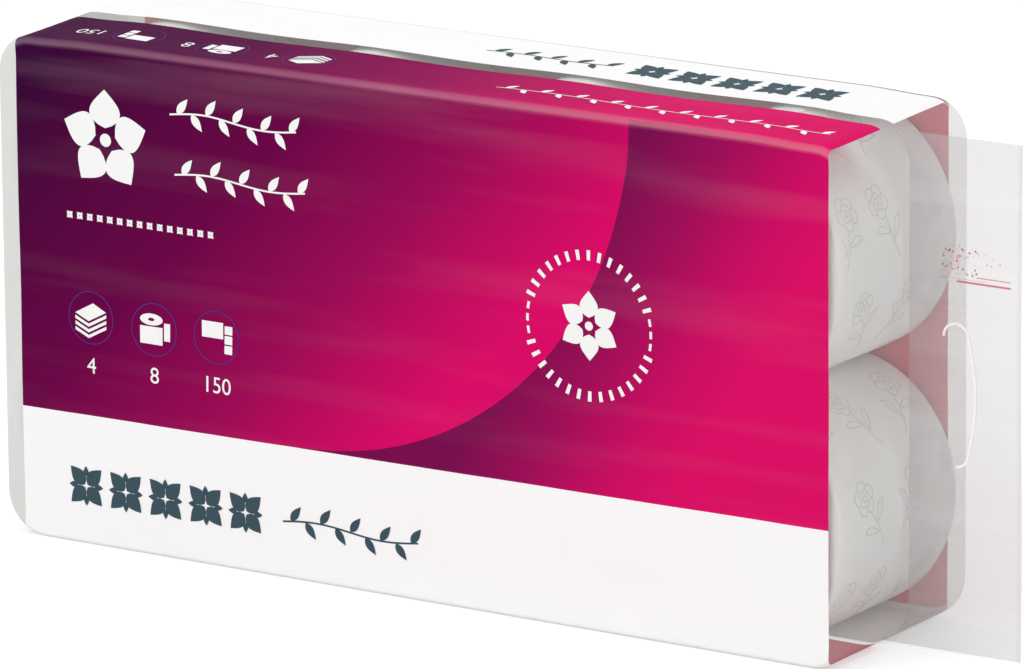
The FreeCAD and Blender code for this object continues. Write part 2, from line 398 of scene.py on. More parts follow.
@dataclass(frozen=True)
class PrintedFilm:
    """Glossy film: deep purple turning to magenta, white bands, and clear at both ends."""

    creases: bpy.types.NodeTree
    sleeve: float = 0.210
    front_end: float = 0.230
    top_end: float = 0.330
    band_height: float = 0.0609
    band_tilt: float = 0.0062
    disc_along: float = -0.060
    disc_up: float = 0.232
    disc_radius: float = 0.171
    strip_depth: float = 0.043
    window_depth: float = 0.0105
    low_window_depth: float = 0.0045
    clear_alpha: float = 0.27
    lightened_end_alpha: float = 0.74
    white: tuple = srgb(252, 251, 251)
    clear: tuple = srgb(212, 210, 206)
    lightened_end: tuple = srgb(236, 237, 234)
    inner: tuple = srgb(246, 122, 140)

    def material(self) -> bpy.types.Material:
        """Builds the film's material from its sheet coordinates.

        Returns:
            The material.
        """
        material, graph, shader = new_material("printed_film")
        place = graph.node("ShaderNodeUVMap", uv_map=SHEET_MAP)
        parts = graph.node("ShaderNodeSeparateXYZ")
        graph.feed(parts.inputs[0], place.outputs["UV"])
        along, around = parts.outputs[0], parts.outputs[1]

        # On the front, a disc of one gradient over a field of another, above a white band.
        from_left = graph.math("ADD", along, 0.410)
        inside_run = graph.math("SUBTRACT", from_left, around)
        inside = graph.ramp(
            inside_run,
            0.0,
            0.36,
            [
                (0.0, srgb(57, 6, 54)),
                (0.40, srgb(106, 4, 70)),
                (0.65, srgb(154, 9, 85)),
                (0.93, srgb(219, 10, 103)),
            ],
        )
        lowered = graph.math("MULTIPLY", around, -0.65)
        outside_run = graph.math("ADD", graph.math("ADD", along, 0.0243), lowered)
        outside = graph.ramp(
            outside_run,
            0.0,
            0.12,
            [
                (0.0, srgb(120, 14, 78)),
                (0.33, srgb(159, 13, 88)),
                (0.71, srgb(206, 12, 99)),
                (0.96, srgb(220, 14, 101)),
            ],
        )
        dx = graph.math("SUBTRACT", along, self.disc_along)
        dz = graph.math("SUBTRACT", around, self.disc_up)
        across = graph.math("MULTIPLY", dx, dx)
        upwards = graph.math("MULTIPLY", dz, dz)
        distance = graph.math("SQRT", graph.math("ADD", across, upwards))
        outside_disc = graph.math("GREATER_THAN", distance, self.disc_radius)
        right_half = graph.math("GREATER_THAN", dx, 0.0)
        beyond = graph.math("MULTIPLY", outside_disc, right_half)
        front = graph.mix(beyond, inside, outside)
        edge = graph.math("MULTIPLY_ADD", along, self.band_tilt, self.band_height)
        band = graph.math("LESS_THAN", around, edge)
        front = graph.mix(band, front, self.white)

        # Over the top and on the back and the underside, strips run the whole length.
        strip = graph.ramp(
            along,
            -0.21,
            0.21,
            [
                (0.0, srgb(62, 10, 56)),
                (0.26, srgb(88, 3, 66)),
                (0.5, srgb(146, 5, 85)),
                (0.74, srgb(212, 18, 101)),
                (1.0, srgb(219, 20, 101)),
            ],
        )
        past_front = graph.math("GREATER_THAN", around, self.front_end + 0.0008)
        below_front = graph.math("LESS_THAN", around, -0.0026)
        on_strips = graph.math("MAXIMUM", past_front, below_front)
        colour = graph.mix(on_strips, front, strip)
        window_start = self.front_end + self.strip_depth
        window_end = window_start + self.window_depth
        on_white = self._between(graph, around, window_end, self.top_end)
        colour = graph.mix(on_white, colour, self.white)
        low_end = -self.strip_depth
        low_start = low_end - self.low_window_depth
        under_white = graph.math("LESS_THAN", around, low_start)
        colour = graph.mix(under_white, colour, self.white)

        reach = graph.math("ABSOLUTE", along)
        past_sleeve = graph.math("GREATER_THAN", reach, self.sleeve)
        top_window = self._between(graph, around, window_start, window_end)
        low_window = self._between(graph, around, low_start, low_end)
        windows = graph.math("MAXIMUM", top_window, low_window)
        is_clear = graph.math("MAXIMUM", past_sleeve, windows)

        creases = graph.node("ShaderNodeGroup", node_tree=self.creases)
        graph.feed(creases.inputs["Vector"], place.outputs["UV"])
        # Painted sheen, a painted highlight on the front's top edge and painted shade along the
        # back's.
        colour = self._painted_sheen_and_shade(graph, along, around, creases.outputs["HazeAndSheen"], colour)
        back_face = graph.node("ShaderNodeNewGeometry").outputs["Backfacing"]
        pale = graph.math("MULTIPLY", back_face, 0.88)
        whites = graph.math("MAXIMUM", on_white, under_white)
        inner = graph.mix(whites, self.inner, srgb(250, 246, 244))
        colour = graph.mix(pale, colour, inner)
        colour = graph.mix(is_clear, colour, self.clear)
        # The short end's film is paler than the clear film: painted lightening over the shaded
        # rolls behind it.
        short_end = graph.math("LESS_THAN", along, -self.sleeve)
        colour = graph.mix(short_end, colour, self.lightened_end)
        graph.feed(shader.inputs["Base Color"], colour)

        # The short end is drawn cloudier and paler than the other, a painted lightening over the
        # shade of the rolls behind it.
        open_film = graph.math("MULTIPLY_ADD", is_clear, self.clear_alpha - 1.0, 1.0)
        cloudier = self.lightened_end_alpha - self.clear_alpha
        alpha = graph.math("MULTIPLY_ADD", short_end, cloudier, open_film)
        inside_sleeve = graph.math("LESS_THAN", reach, self.sleeve)
        taut = graph.math("MULTIPLY", low_window, inside_sleeve)
        alpha = graph.math("MULTIPLY_ADD", taut, 0.04 - self.clear_alpha, alpha)
        graph.feed(shader.inputs["Alpha"], alpha)
        rough = graph.math("MULTIPLY_ADD", creases.outputs["HazeAndSheen"], 0.10, 0.56)
        graph.feed(shader.inputs["Roughness"], rough)
        normal = graph.bump(creases.outputs["Height"], 0.0012, 0.35)
        graph.feed(shader.inputs["Normal"], normal)
        shader.inputs["Specular IOR Level"].default_value = 0.015
        return material

    def _painted_sheen_and_shade(
        self,
        graph: Graph,
        along: bpy.types.NodeSocket,
        around: bpy.types.NodeSocket,
        haze_and_sheen: bpy.types.NodeSocket,
        colour: bpy.types.NodeSocket,
    ) -> bpy.types.NodeSocket:
        """Paints sheen on the print in soft pale streaks, most below the front's top edge, a
        highlight along that edge, and shade along the back's top edge.

        Args:
            graph: The film's graph.
            along: Distance along the sheet.
            around: Distance round it.
            haze_and_sheen: Streaks of haze and painted sheen from 0 to 1.
            colour: The print.

        Returns:
            The print with its painted sheen, highlight and shade.
        """
        black, white = (0.0, 0.0, 0.0, 1.0), (1.0, 1.0, 1.0, 1.0)
        grey = (0.35, 0.35, 0.35, 1.0)
        # Painted sheen: pale streaks over the print, strongest just below the front's top edge.
        sheen_band = graph.ramp(
            around,
            self.front_end - 0.045,
            self.front_end + 0.010,
            [(0.0, black), (0.5, grey), (0.8, white), (1.0, black)],
        )
        share = graph.math("MULTIPLY_ADD", sheen_band, 0.09, 0.03)
        colour = graph.mix(graph.math("MULTIPLY", haze_and_sheen, share), colour, srgb(236, 190, 208))
        # A painted highlight where the film turns over the front's top edge, brighter towards the
        # right end.
        line = graph.ramp(
            around,
            self.front_end - 0.0030,
            self.front_end + 0.0030,
            [(0.0, black), (0.34, grey), (0.52, white), (0.78, grey), (1.0, black)],
        )
        highlight_mask = graph.math("MULTIPLY", line, graph.math("MULTIPLY_ADD", haze_and_sheen, 0.3, 0.5))
        lit = graph.ramp(
            along,
            -0.21,
            0.21,
            [(0.0, srgb(150, 118, 138)), (0.45, srgb(196, 120, 150)), (1.0, srgb(246, 140, 158))],
        )
        colour = graph.mix(highlight_mask, colour, lit)
        # Painted shade in a thin line along the back's top edge, darker towards the right end.
        rear_edge_shade = graph.ramp(
            along,
            -0.02,
            0.21,
            [(0.0, srgb(238, 238, 238)), (0.5, srgb(206, 196, 197)), (1.0, srgb(164, 118, 126))],
        )
        rear = self._between(graph, around, self.top_end - 0.0036, self.top_end - 0.0014)
        return graph.mix(rear, colour, rear_edge_shade)

    @staticmethod
    def _between(
        graph: Graph, value: bpy.types.NodeSocket, low: float, high: float
    ) -> bpy.types.NodeSocket:
        """Marks where a number lies between two others, by a product of two tests.

        Args:
            graph: The graph of the tests.
            value: The number's socket.
            low: Lower limit.
            high: Upper limit.

        Returns:
            The socket of 1 between the limits and 0 elsewhere.
        """
        above = graph.math("GREATER_THAN", value, low)
        below = graph.math("LESS_THAN", value, high)
        return graph.math("MULTIPLY", above, below)


@dataclass(frozen=True)
class MilkyFilm:
    """Two layers of clear film pressed together, cloudy and faintly creased."""

    creases: bpy.types.NodeTree
    name: str = "milky_film"
    colour: tuple = srgb(198, 193, 194)
    alpha: float = 0.42

    def material(self) -> bpy.types.Material:
        """Builds the material.

        Returns:
            The material.
        """
        material, graph, shader = new_material(self.name)
        place = graph.node("ShaderNodeUVMap", uv_map=SHEET_MAP)
        creases = graph.node("ShaderNodeGroup", node_tree=self.creases)
        graph.feed(creases.inputs["Vector"], place.outputs["UV"])
        # Lighter in the streaks: partly the pressed film's own cloudiness, partly painted sheen.
        cloudy = graph.mix(creases.outputs["HazeAndSheen"], self.colour, srgb(222, 220, 221))
        graph.feed(shader.inputs["Base Color"], cloudy)
        alpha = graph.math("MULTIPLY_ADD", creases.outputs["HazeAndSheen"], 0.05, self.alpha)
        graph.feed(shader.inputs["Alpha"], alpha)
        rough = graph.math("MULTIPLY_ADD", creases.outputs["HazeAndSheen"], 0.12, 0.38)
        graph.feed(shader.inputs["Roughness"], rough)
        normal = graph.bump(creases.outputs["Height"], 0.0010, 0.3)
        graph.feed(shader.inputs["Normal"], normal)
        shader.inputs["Specular IOR Level"].default_value = 0.2
        return material


@dataclass(frozen=True)
class Ink:
    """Opaque ink on film, with the film's gloss and a faintly uneven coat."""

    name: str
    colour: tuple
    roughness: float = 0.5
    # Strength of a painted glow in the ink's colour, light that no lamp gives.
    glow: float = 0.0

    def material(self) -> bpy.types.Material:
        """Builds the material.

        Returns:
            The material.
        """
        material, graph, shader = new_material(self.name)
        place = graph.node("ShaderNodeTexCoord").outputs["Object"]
        uneven = graph.noise(place, (220.0, 220.0, 220.0), 2.0)
        darker = tuple(channel * 0.94 for channel in self.colour[:3]) + (1.0,)
        graph.feed(shader.inputs["Base Color"], graph.mix(uneven, self.colour, darker))
        rough = graph.math("MULTIPLY_ADD", uneven, 0.08, self.roughness)
        graph.feed(shader.inputs["Roughness"], rough)
        shader.inputs["Specular IOR Level"].default_value = 0.06
        shader.inputs["Emission Color"].default_value = self.colour
        shader.inputs["Emission Strength"].default_value = self.glow
        return material


@dataclass(frozen=True)
class Tissue:
    """Soft white paper with a fine fibre grain, and turns that show on the rolls' ends."""

    colour: tuple = srgb(243, 243, 242)
    shaded: tuple = srgb(232, 231, 230)

    def material(self) -> bpy.types.Material:
        """Builds the material.

        Returns:
            The material.
        """
        material, graph, shader = new_material("tissue")
        place = graph.node("ShaderNodeTexCoord").outputs["Object"]
        cloud = graph.noise(place, (55.0, 55.0, 55.0), 3.0)
        fibre = graph.noise(place, (900.0, 900.0, 900.0), 3.0)
        turns = graph.node("ShaderNodeUVMap", uv_map=SHEET_MAP)
        parts = graph.node("ShaderNodeSeparateXYZ")
        graph.feed(parts.inputs[0], turns.outputs["UV"])
        wave = graph.math("SINE", graph.math("MULTIPLY", parts.outputs[0], 2.0 * math.pi))
        layered = graph.math("MULTIPLY", wave, parts.outputs[1])
        colour = graph.mix(cloud, self.colour, self.shaded)
        lines = graph.math("MULTIPLY", layered, 0.3, clamp=True)
        colour = graph.mix(lines, colour, srgb(205, 203, 200))
        graph.feed(shader.inputs["Base Color"], colour)
        rough = graph.math("MULTIPLY_ADD", fibre, 0.10, 0.84)
        graph.feed(shader.inputs["Roughness"], rough)
        height = graph.math("MULTIPLY_ADD", layered, 0.6, fibre)
        graph.feed(shader.inputs["Normal"], graph.bump(height, 0.0003, 0.5))
        shader.inputs["Sheen Weight"].default_value = 0.25
        shader.inputs["Specular IOR Level"].default_value = 0.2
        return material


@dataclass(frozen=True)
class PressedLine:
    """The lines of the embossed pattern, a little greyer than the paper, which paints the shade of
    the pressed pattern.
    """

    # Grey of the lines: painted shade of the pressed pattern.
    colour: tuple = srgb(208, 208, 207)

    def material(self) -> bpy.types.Material:
        """Builds the material.

        Returns:
            The material.
        """
        material, graph, shader = new_material("pressed_line")
        place = graph.node("ShaderNodeTexCoord").outputs["Object"]
        fibre = graph.noise(place, (500.0, 500.0, 500.0), 2.0)
        graph.feed(shader.inputs["Base Color"], graph.mix(fibre, self.colour, srgb(224, 224, 223)))
        graph.feed(shader.inputs["Roughness"], graph.math("MULTIPLY_ADD", fibre, 0.1, 0.8))
        shader.inputs["Specular IOR Level"].default_value = 0.2
        return material


@dataclass(frozen=True)
class CoreBoard:
    """Plain grey-brown board with specks, and the slanting seams of a wound tube."""

    colour: tuple = srgb(203, 190, 170)

    def material(self) -> bpy.types.Material:
        """Builds the material.

        Returns:
            The material.
        """
        material, graph, shader = new_material("core_board")
        place = graph.node("ShaderNodeTexCoord").outputs["Object"]
        specks = graph.noise(place, (1400.0, 1400.0, 1400.0), 2.0)
        bands = graph.noise(place, (6.0, 60.0, 6.0), 2.0, 0.6)
        colour = graph.mix(bands, self.colour, srgb(186, 171, 150))
        speckled = graph.math("GREATER_THAN", specks, 0.66)
        colour = graph.mix(graph.math("MULTIPLY", speckled, 0.35), colour, srgb(140, 124, 104))
        graph.feed(shader.inputs["Base Color"], colour)
        graph.feed(shader.inputs["Roughness"], graph.math("MULTIPLY_ADD", specks, 0.1, 0.82))
        graph.feed(shader.inputs["Normal"], graph.bump(specks, 0.0002, 0.4))
        return material


@dataclass(frozen=True)
class BagForm:
    """The bag's sizes, and the shape that its film takes over the rolls."""

    middle: float = -0.0235
    length: float = 0.440
    depth: float = 0.100
    height: float = 0.230
    corner: float = 0.020
    top_corner: float = 0.017
    shoulder: float = 0.0010
    shoulder_start: float = 0.170
    rear_rise: float = 0.0020
    edge: float = 0.0025
    column_pitch: float = 0.1082
    row_pitch: float = 0.1146
    roll_radius: float = 0.0556
    core_radius: float = 0.0225
    dip: float = 0.0009

    def outline(self) -> tuple[np.ndarray, np.ndarray]:
        """Draws the bag seen from the front, a rounded rectangle run through counterclockwise.

        The top falls to its tighter corners by shoulder * s(shoulder start, corner start, |x|).

        Returns:
            Points and outward normals, from the middle of the outline, both n by 2.
        """
        half_length, half_height = self.length / 2, self.height / 2
        small, large = self.top_corner, self.corner
        crown = half_height - self.shoulder
        quarter = np.linspace(0.0, math.pi / 2, 13)
        side = np.linspace(large - half_height, crown - small, 86)
        under = np.linspace(large - half_length, half_length - large, 100)
        over = np.linspace(half_length - small, small - half_length, 104)
        fall = self._shoulder_fall(over)
        middles = (
            (half_length - small, crown - small),
            (small - half_length, crown - small),
            (large - half_length, large - half_height),
            (half_length - large, large - half_height),
        )
        runs = (
            np.stack([np.full(len(side), half_length), side], axis=1),
            np.stack([over, half_height - fall], axis=1),
            np.stack([np.full(len(side), -half_length), side[::-1]], axis=1),
            np.stack([under, np.full(len(under), -half_height)], axis=1),
        )
        points = []
        for number, (run, middle) in enumerate(zip(runs, middles)):
            radius = small if number < 2 else large
            turn = quarter + number * math.pi / 2
            arc = np.stack([np.cos(turn), np.sin(turn)], axis=1)
            points += [run[1:-1], np.array(middle) + radius * arc]
        loop = np.concatenate(points)
        ahead = np.roll(loop, -1, axis=0) - np.roll(loop, 1, axis=0)
        ahead /= np.linalg.norm(ahead, axis=1, keepdims=True)
        return loop, np.stack([ahead[:, 1], -ahead[:, 0]], axis=1)

    def _shoulder_fall(self, along: np.ndarray) -> np.ndarray:
        """Works out how far the top has fallen at places along X, towards its corners."""
        corner_start = self.length / 2 - self.top_corner
        return self.shoulder * smoothstep(self.shoulder_start, corner_start, np.abs(along))

    def rise(self, depth: np.ndarray | float, up: np.ndarray) -> np.ndarray:
        """Works out how far the film rides up towards its rear top edge.

        The rise is rear_rise * s(front, back, y) * s(0, half the height, z), with s smoothstep.

        Args:
            depth: Distances from mid depth along Y.
            up: Heights over mid height.

        Returns:
            The heights to add.
        """
        backwards = smoothstep(-self.depth / 2, self.depth / 2, depth)
        return self.rear_rise * backwards * smoothstep(0.0, self.height / 2, up)

    def front_dip(self, along: np.ndarray, up: np.ndarray) -> np.ndarray:
        """Works out how far the front and back panels sink between the rolls and at their bores.

        With d the distance to the nearest roll's middle over the roll's radius, the film sinks
        by dip * s(0.86, 1.3, d), and by a third of that over the bores, all of it faded out
        near the panel's edge. s is smoothstep.

        Args:
            along: Distances from the bag's middle along X.
            up: Distances from its middle along Z.

        Returns:
            The depth of the film under the flat panel.
        """
        column = self.column_pitch * (np.clip(np.floor(along / self.column_pitch), -2, 1) + 0.5)
        row = np.where(up < 0, -0.5, 0.5) * self.row_pitch
        distance = np.hypot(along - column, up - row) / self.roll_radius
        core = self.core_radius / self.roll_radius
        sink = smoothstep(0.86, 1.3, distance)
        sink = sink + 0.35 * (1.0 - smoothstep(core * 0.5, core * 1.25, distance))
        border = np.minimum(self.length / 2 - np.abs(along), self.height / 2 - np.abs(up))
        return self.dip * sink * smoothstep(self.edge, 0.018, border)

    def top_dip(self, along: np.ndarray, across: np.ndarray) -> np.ndarray:
        """Works out how far the top sinks between the rolls: half a wave from roll to roll.

        Args:
            along: Distances from the bag's middle along X.
            across: Distances from mid depth along Y.

        Returns:
            The depth of the film under the flat top.
        """
        wave = 0.5 + 0.5 * np.cos(2.0 * math.pi * along / self.column_pitch)
        border = self.depth / 2 - np.abs(across)
        ends = smoothstep(0.0, 0.02, self.length / 2 - self.corner - np.abs(along))
        return self.dip * 0.7 * wave * ends * smoothstep(0.0, 0.015, border)

    def on_front(self, along: np.ndarray, up: np.ndarray, proud: float) -> np.ndarray:
        """Places flat artwork on the front panel.

        Args:
            along: Distances from the bag's middle along X.
            up: Heights above the floor.
            proud: Height of the ink over the film.

        Returns:
            The points, with one more axis than the arguments.
        """
        sink = self.front_dip(along, up - self.height / 2)
        return np.stack([along + self.middle, sink - self.depth / 2 - proud, up], axis=-1)

    def on_top(self, along: np.ndarray, across: np.ndarray, proud: float) -> np.ndarray:
        """Places flat artwork on the top.

        Args:
            along: Distances from the bag's middle along X.
            across: Distances from mid depth along Y.
            proud: Height of the ink over the film.

        Returns:
            The points, with one more axis than the arguments.
        """
        sink = self.top_dip(along, across) + self._shoulder_fall(along)
        up = self.height / 2 - sink
        up = up + self.rise(across, up) + self.height / 2 + proud
        return np.stack([along + self.middle, across, up], axis=-1)


@dataclass
class FilmBag:
    """The closed bag without its fin."""

    form: BagForm
    rings: int = 34
    round_steps: int = 7
    depth_steps: int = 22

    def build(self, material: bpy.types.Material) -> bpy.types.Object:
        """Carries the outline from the middle of the front panel round to that of the back.

        On a panel, a point is q + (p - q) * w, where p is on the outline, q the nearest point
        of the spine between the rows, and w goes from 0 to 1. Over an edge, it is p - n * e *
        (1 - sin a) at a depth of e * (1 - cos a), with n the outline's normal.

        Args:
            material: The film's material.

        Returns:
            The bag.
        """
        form = self.form
        points, normals = form.outline()
        half_depth, edge = form.depth / 2, form.edge
        inner = points - normals * edge
        reach = (form.length - form.height) / 2
        spine = np.stack([np.clip(inner[:, 0], -reach, reach), np.zeros(len(inner))], axis=1)

        rows, sheets = [], []
        shares = np.linspace(0.0, 1.0, self.rings + 1)[:-1]
        for share in shares:
            flat = spine + (inner - spine) * share
            rows.append(self._panel(flat, -1.0))
            sheets.append(np.stack([flat[:, 0], flat[:, 1] + form.height / 2], axis=1))
        angles = np.linspace(0.0, math.pi / 2, self.round_steps)
        straight = np.linspace(-half_depth + edge, half_depth - edge, self.depth_steps)[1:-1]
        rounding = edge * (1 - np.sin(angles))
        insets = np.concatenate([rounding, np.zeros(len(straight)), rounding[::-1]])
        depths = np.concatenate(
            [
                -half_depth + edge * (1 - np.cos(angles)),
                straight,
                half_depth - edge * (1 - np.cos(angles[::-1])),
            ]
        )
        for inset, depth in zip(insets, depths):
            ring = points - normals * inset
            rows.append(self._belt(ring, depth))
            sheets.append(self._belt_sheet(ring, depth))
        # The underside's sheet ends at the back panel's foot, so that edge has two rings.
        for share in np.concatenate([[1.0], shares[::-1]]):
            flat = spine + (inner - spine) * share
            rows.append(self._panel(flat, 1.0))
            around = form.height + form.depth + form.height / 2 - flat[:, 1]
            sheets.append(np.stack([flat[:, 0], around], axis=1))

        parts = MeshParts()
        parts.add_grid(np.stack(rows), np.stack(sheets), closed_columns=True)
        return parts.build("film_bag", [material])

    def _panel(self, flat: np.ndarray, face: float) -> np.ndarray:
        """Puts points of the outline's plane on the front or the back panel.

        Args:
            flat: Points from the middle of the outline, n by 2.
            face: -1 for the front, 1 for the back.

        Returns:
            The points, n by 3.
        """
        form = self.form
        sink = form.front_dip(flat[:, 0], flat[:, 1])
        depth = face * (form.depth / 2 - sink)
        up = flat[:, 1] + form.rise(depth, flat[:, 1]) + form.height / 2
        return np.stack([flat[:, 0] + form.middle, depth, up], axis=1)

    def _belt(self, ring: np.ndarray, depth: float) -> np.ndarray:
        """Puts a ring of the outline's plane at one depth, and lets the top sink.

        Args:
            ring: Points from the middle of the outline, n by 2.
            depth: Their distance from mid depth along Y.

        Returns:
            The points, n by 3.
        """
        form = self.form
        sink = form.top_dip(ring[:, 0], np.full(len(ring), depth))
        on_top = ring[:, 1] > form.height / 2 - form.top_corner
        up = ring[:, 1] - np.where(on_top, sink, 0.0)
        up = up + form.rise(depth, up) + form.height / 2
        return np.stack([ring[:, 0] + form.middle, np.full(len(ring), depth), up], axis=1)

    def _belt_sheet(self, ring: np.ndarray, depth: float) -> np.ndarray:
        """Gives a ring's sheet coordinates: the top's above mid height, the underside's below.

        Args:
            ring: Points from the middle of the outline, n by 2.
            depth: Their distance from mid depth along Y.

        Returns:
            The sheet coordinates, n by 2.
        """
        form = self.form
        over_top = form.height + depth + form.depth / 2
        below = -depth - form.depth / 2
        around = np.where(ring[:, 1] > 0, over_top, below)
        return np.stack([ring[:, 0], around], axis=1)


@dataclass(frozen=True)
class SlitPath:
    """The middle line of the finger slit: a hook, a long easy side and a quarter hook."""

    along: float = 0.243
    middle: float = 0.1148
    reach: float = 0.063
    hook: float = 0.006
    side: float = 0.099
    width: float = 0.0001
    lip: float = 0.0005

    def line(self) -> tuple[np.ndarray, np.ndarray]:
        """Runs along three arcs that meet smoothly.

        Returns:
            Points and the normals that point out of the arcs, both n by 2.
        """
        spread = self.reach / 2 - self.hook
        top = np.array([self.along, self.middle + spread])
        bottom = np.array([self.along, self.middle - spread])
        back = math.sqrt((self.side - self.hook) ** 2 - spread**2)
        centre = np.array([self.along - back, self.middle])
        lean = math.atan2(spread, back)
        runs = (
            (top, self.hook, np.linspace(math.pi, lean, 16)),
            (centre, self.side, np.linspace(lean, -lean, 40)),
            (bottom, self.hook, np.linspace(-lean, -math.pi / 2, 8)),
        )
        points, normals = [], []
        for number, (middle, radius, angles) in enumerate(runs):
            out = np.stack([np.cos(angles), np.sin(angles)], axis=1)[1 if number else 0 :]
            points.append(middle + radius * out)
            normals.append(out)
        return np.concatenate(points), np.concatenate(normals)

    def loop(self) -> np.ndarray:
        """Gives the slit's closed edge, half a width out on one side and back on the other.

        Returns:
            The edge's points, n by 2.
        """
        points, normals = self.line()
        half = normals * self.width / 2
        return np.concatenate([points + half, (points - half)[::-1]])


@dataclass
class CarryingFin:
    """The flat welded film beyond both ends, with the slit, the beads and the tear mark."""

    form: BagForm
    slit: SlitPath
    reach: float = 0.055
    seal_reach: float = 0.008
    foot: float = 0.0012
    head: float = 0.0024
    seal_head: float = 0.018
    grid: float = 0.004
    bead_width: float = 0.002

    def wave(self, along: np.ndarray, up: np.ndarray) -> np.ndarray:
        """Lets the free film stand a little out of its plane: sin(a) * sin(b) with its reach.

        Args:
            along: Distances from the bag's middle along X.
            up: Heights above the floor.

        Returns:
            The film's place along Y.
        """
        free = smoothstep(0.222, 0.275, np.abs(along))
        return 0.0011 * free * np.sin(up * 21.0 + 0.6) * np.cos(up * 9.0)

    def place(self, along: np.ndarray, up: np.ndarray, proud: float = 0.0) -> np.ndarray:
        """Puts flat points on the fin or the seal, proud of it towards the front.

        Args:
            along: Distances from the bag's middle along X.
            up: Heights above the floor.
            proud: Distance in front of the film.

        Returns:
            The points, with one more axis than the arguments.
        """
        return np.stack([along + self.form.middle, self.wave(along, up) - proud, up], axis=-1)

    def _edge(self, reach: float, head: float) -> np.ndarray:
        """Gives the closed edge of the flat film at the right end, which starts on the bag's end.

        Args:
            reach: How far the film stands out of the bag.
            head: How far it stops below the bag's top.

        Returns:
            The edge's points, n by 2: foot, outer side, head and the side on the bag.
        """
        form = self.form
        bottom, top = self.foot, form.height - head
        end = form.length / 2
        along = np.linspace(0.0, 1.0, 15)
        up = np.linspace(bottom, top, 60)
        low = np.clip(form.corner - up, 0.0, None)
        settled = up - form.rise(0.0, up - form.height / 2)
        arc_start = form.height - form.shoulder - form.top_corner
        high = np.clip(settled - arc_start, 0.0, form.top_corner)
        root = end - form.corner + np.sqrt(form.corner**2 - low**2)
        root -= form.top_corner - np.sqrt(form.top_corner**2 - high**2)
        foot_run = root[0] + (end + reach - root[0]) * along
        head_run = root[-1] + (end + reach - root[-1]) * along
        return np.concatenate(
            [
                np.stack([foot_run, np.full(15, bottom)], axis=1),
                np.stack([np.full(58, end + reach), up[1:-1]], axis=1),
                np.stack([head_run, np.full(15, top)], axis=1)[::-1],
                np.stack([root, up], axis=1)[1:-1][::-1],
            ]
        )

    def _sheet(
        self, reach: float, head: float, hole: np.ndarray | None
    ) -> tuple[np.ndarray, list[list[int]]]:
        """Fills the flat film's edge with triangles on a regular grid, and leaves out its hole.

        Args:
            reach: How far the film stands out of the bag.
            head: How far it stops below the bag's top.
            hole: Closed edge of the hole, or None.

        Returns:
            The points, n by 2, and the triangles.
        """
        edge = self._edge(reach, head)
        end = self.form.length / 2
        columns = np.arange(end + self.grid / 2, end + reach - self.grid / 4, self.grid)
        rows = np.arange(self.foot + self.grid, self.form.height - head - 0.001, self.grid)
        inner = np.stack(np.meshgrid(columns, rows), axis=-1).reshape(-1, 2)
        loops = [edge] if hole is None else [edge, hole]
        points = np.concatenate([*loops, inner])
        borders, start = [], 0
        for loop in loops:
            numbers = list(range(start, start + len(loop)))
            borders += list(zip(numbers, numbers[1:] + numbers[:1]))
            start += len(loop)
        flat, _, faces, _, _, _ = delaunay_2d_cdt(points.tolist(), borders, [], 0, 1e-7)
        found = np.array([[point.x, point.y] for point in flat])
        middles = np.array([found[list(face)].mean(axis=0) for face in faces])
        keep = inside_loop(middles, edge)
        if hole is not None:
            keep &= ~inside_loop(middles, hole)
        return found, [list(face) for face, kept in zip(faces, keep) if kept]

    def build(
        self,
        film: bpy.types.Material,
        welded: bpy.types.Material,
        cut: bpy.types.Material,
    ) -> bpy.types.Object:
        """Builds the fin and the seal as one flat piece with its welded beads.

        A bead is an oval (a cos t, b sin t) carried up the edge of the film.

        Args:
            film: Material of the pressed layers.
            welded: Material of the beads.
            cut: Material of the slit's lips, white with a faint painted glow.

        Returns:
            The piece.
        """
        parts = MeshParts()
        for sign, reach, head, hole in (
            (1.0, self.reach, self.head, self.slit.loop()),
            (-1.0, self.seal_reach, self.seal_head, None),
        ):
            flat, faces = self._sheet(reach, head, hole)
            parts.add_faces(self.place(flat[:, 0] * sign, flat[:, 1]), faces)
            parts.sheets[-1] = flat
            up = np.linspace(self.foot, self.form.height - head, 70)
            turn = np.linspace(0.0, 2.0 * math.pi, 12, endpoint=False)
            along = self.form.length / 2 + reach - self.bead_width / 2
            oval = np.stack([np.cos(turn) * self.bead_width / 2, np.sin(turn) * 0.00042], axis=1)
            line = self.place(np.full(len(up), along * sign), up)
            tube = np.repeat(line[:, None, :], len(turn), axis=1)
            tube[:, :, :2] += oval[None, :, :]
            parts.add_grid(tube, slot=1, closed_columns=True)
        # The cut edges turn out as narrow lips, which all but close the slit again.
        points, normals = self.slit.line()
        for side in (-1.0, 1.0):
            for proud in (-0.0002, 0.0002):
                near = points + normals * side * self.slit.width / 2
                far = near + normals * side * self.slit.lip
                strip = np.stack([near, far])
                parts.add_grid(self.place(strip[..., 0], strip[..., 1], proud), slot=2)
        return parts.build("carrying_fin", [film, welded, cut], outwards=False)


def inside_loop(points: np.ndarray, loop: np.ndarray) -> np.ndarray:
    """Marks the points inside a closed loop by counting the sides that lie to their right.

    Args:
        points: Points, n by 2.
        loop: Corners of the loop, m by 2.

    Returns:
        One truth value a point.
    """
    x, y = points[:, 0:1], points[:, 1:2]
    ax, ay = loop[:, 0], loop[:, 1]
    bx, by = np.roll(ax, -1), np.roll(ay, -1)
    crosses = (ay > y) != (by > y)
    safe = np.where(by == ay, 1e-12, by - ay)
    where = ax + (y - ay) * (bx - ax) / safe
    return (crosses & (x < where)).sum(axis=1) % 2 == 1


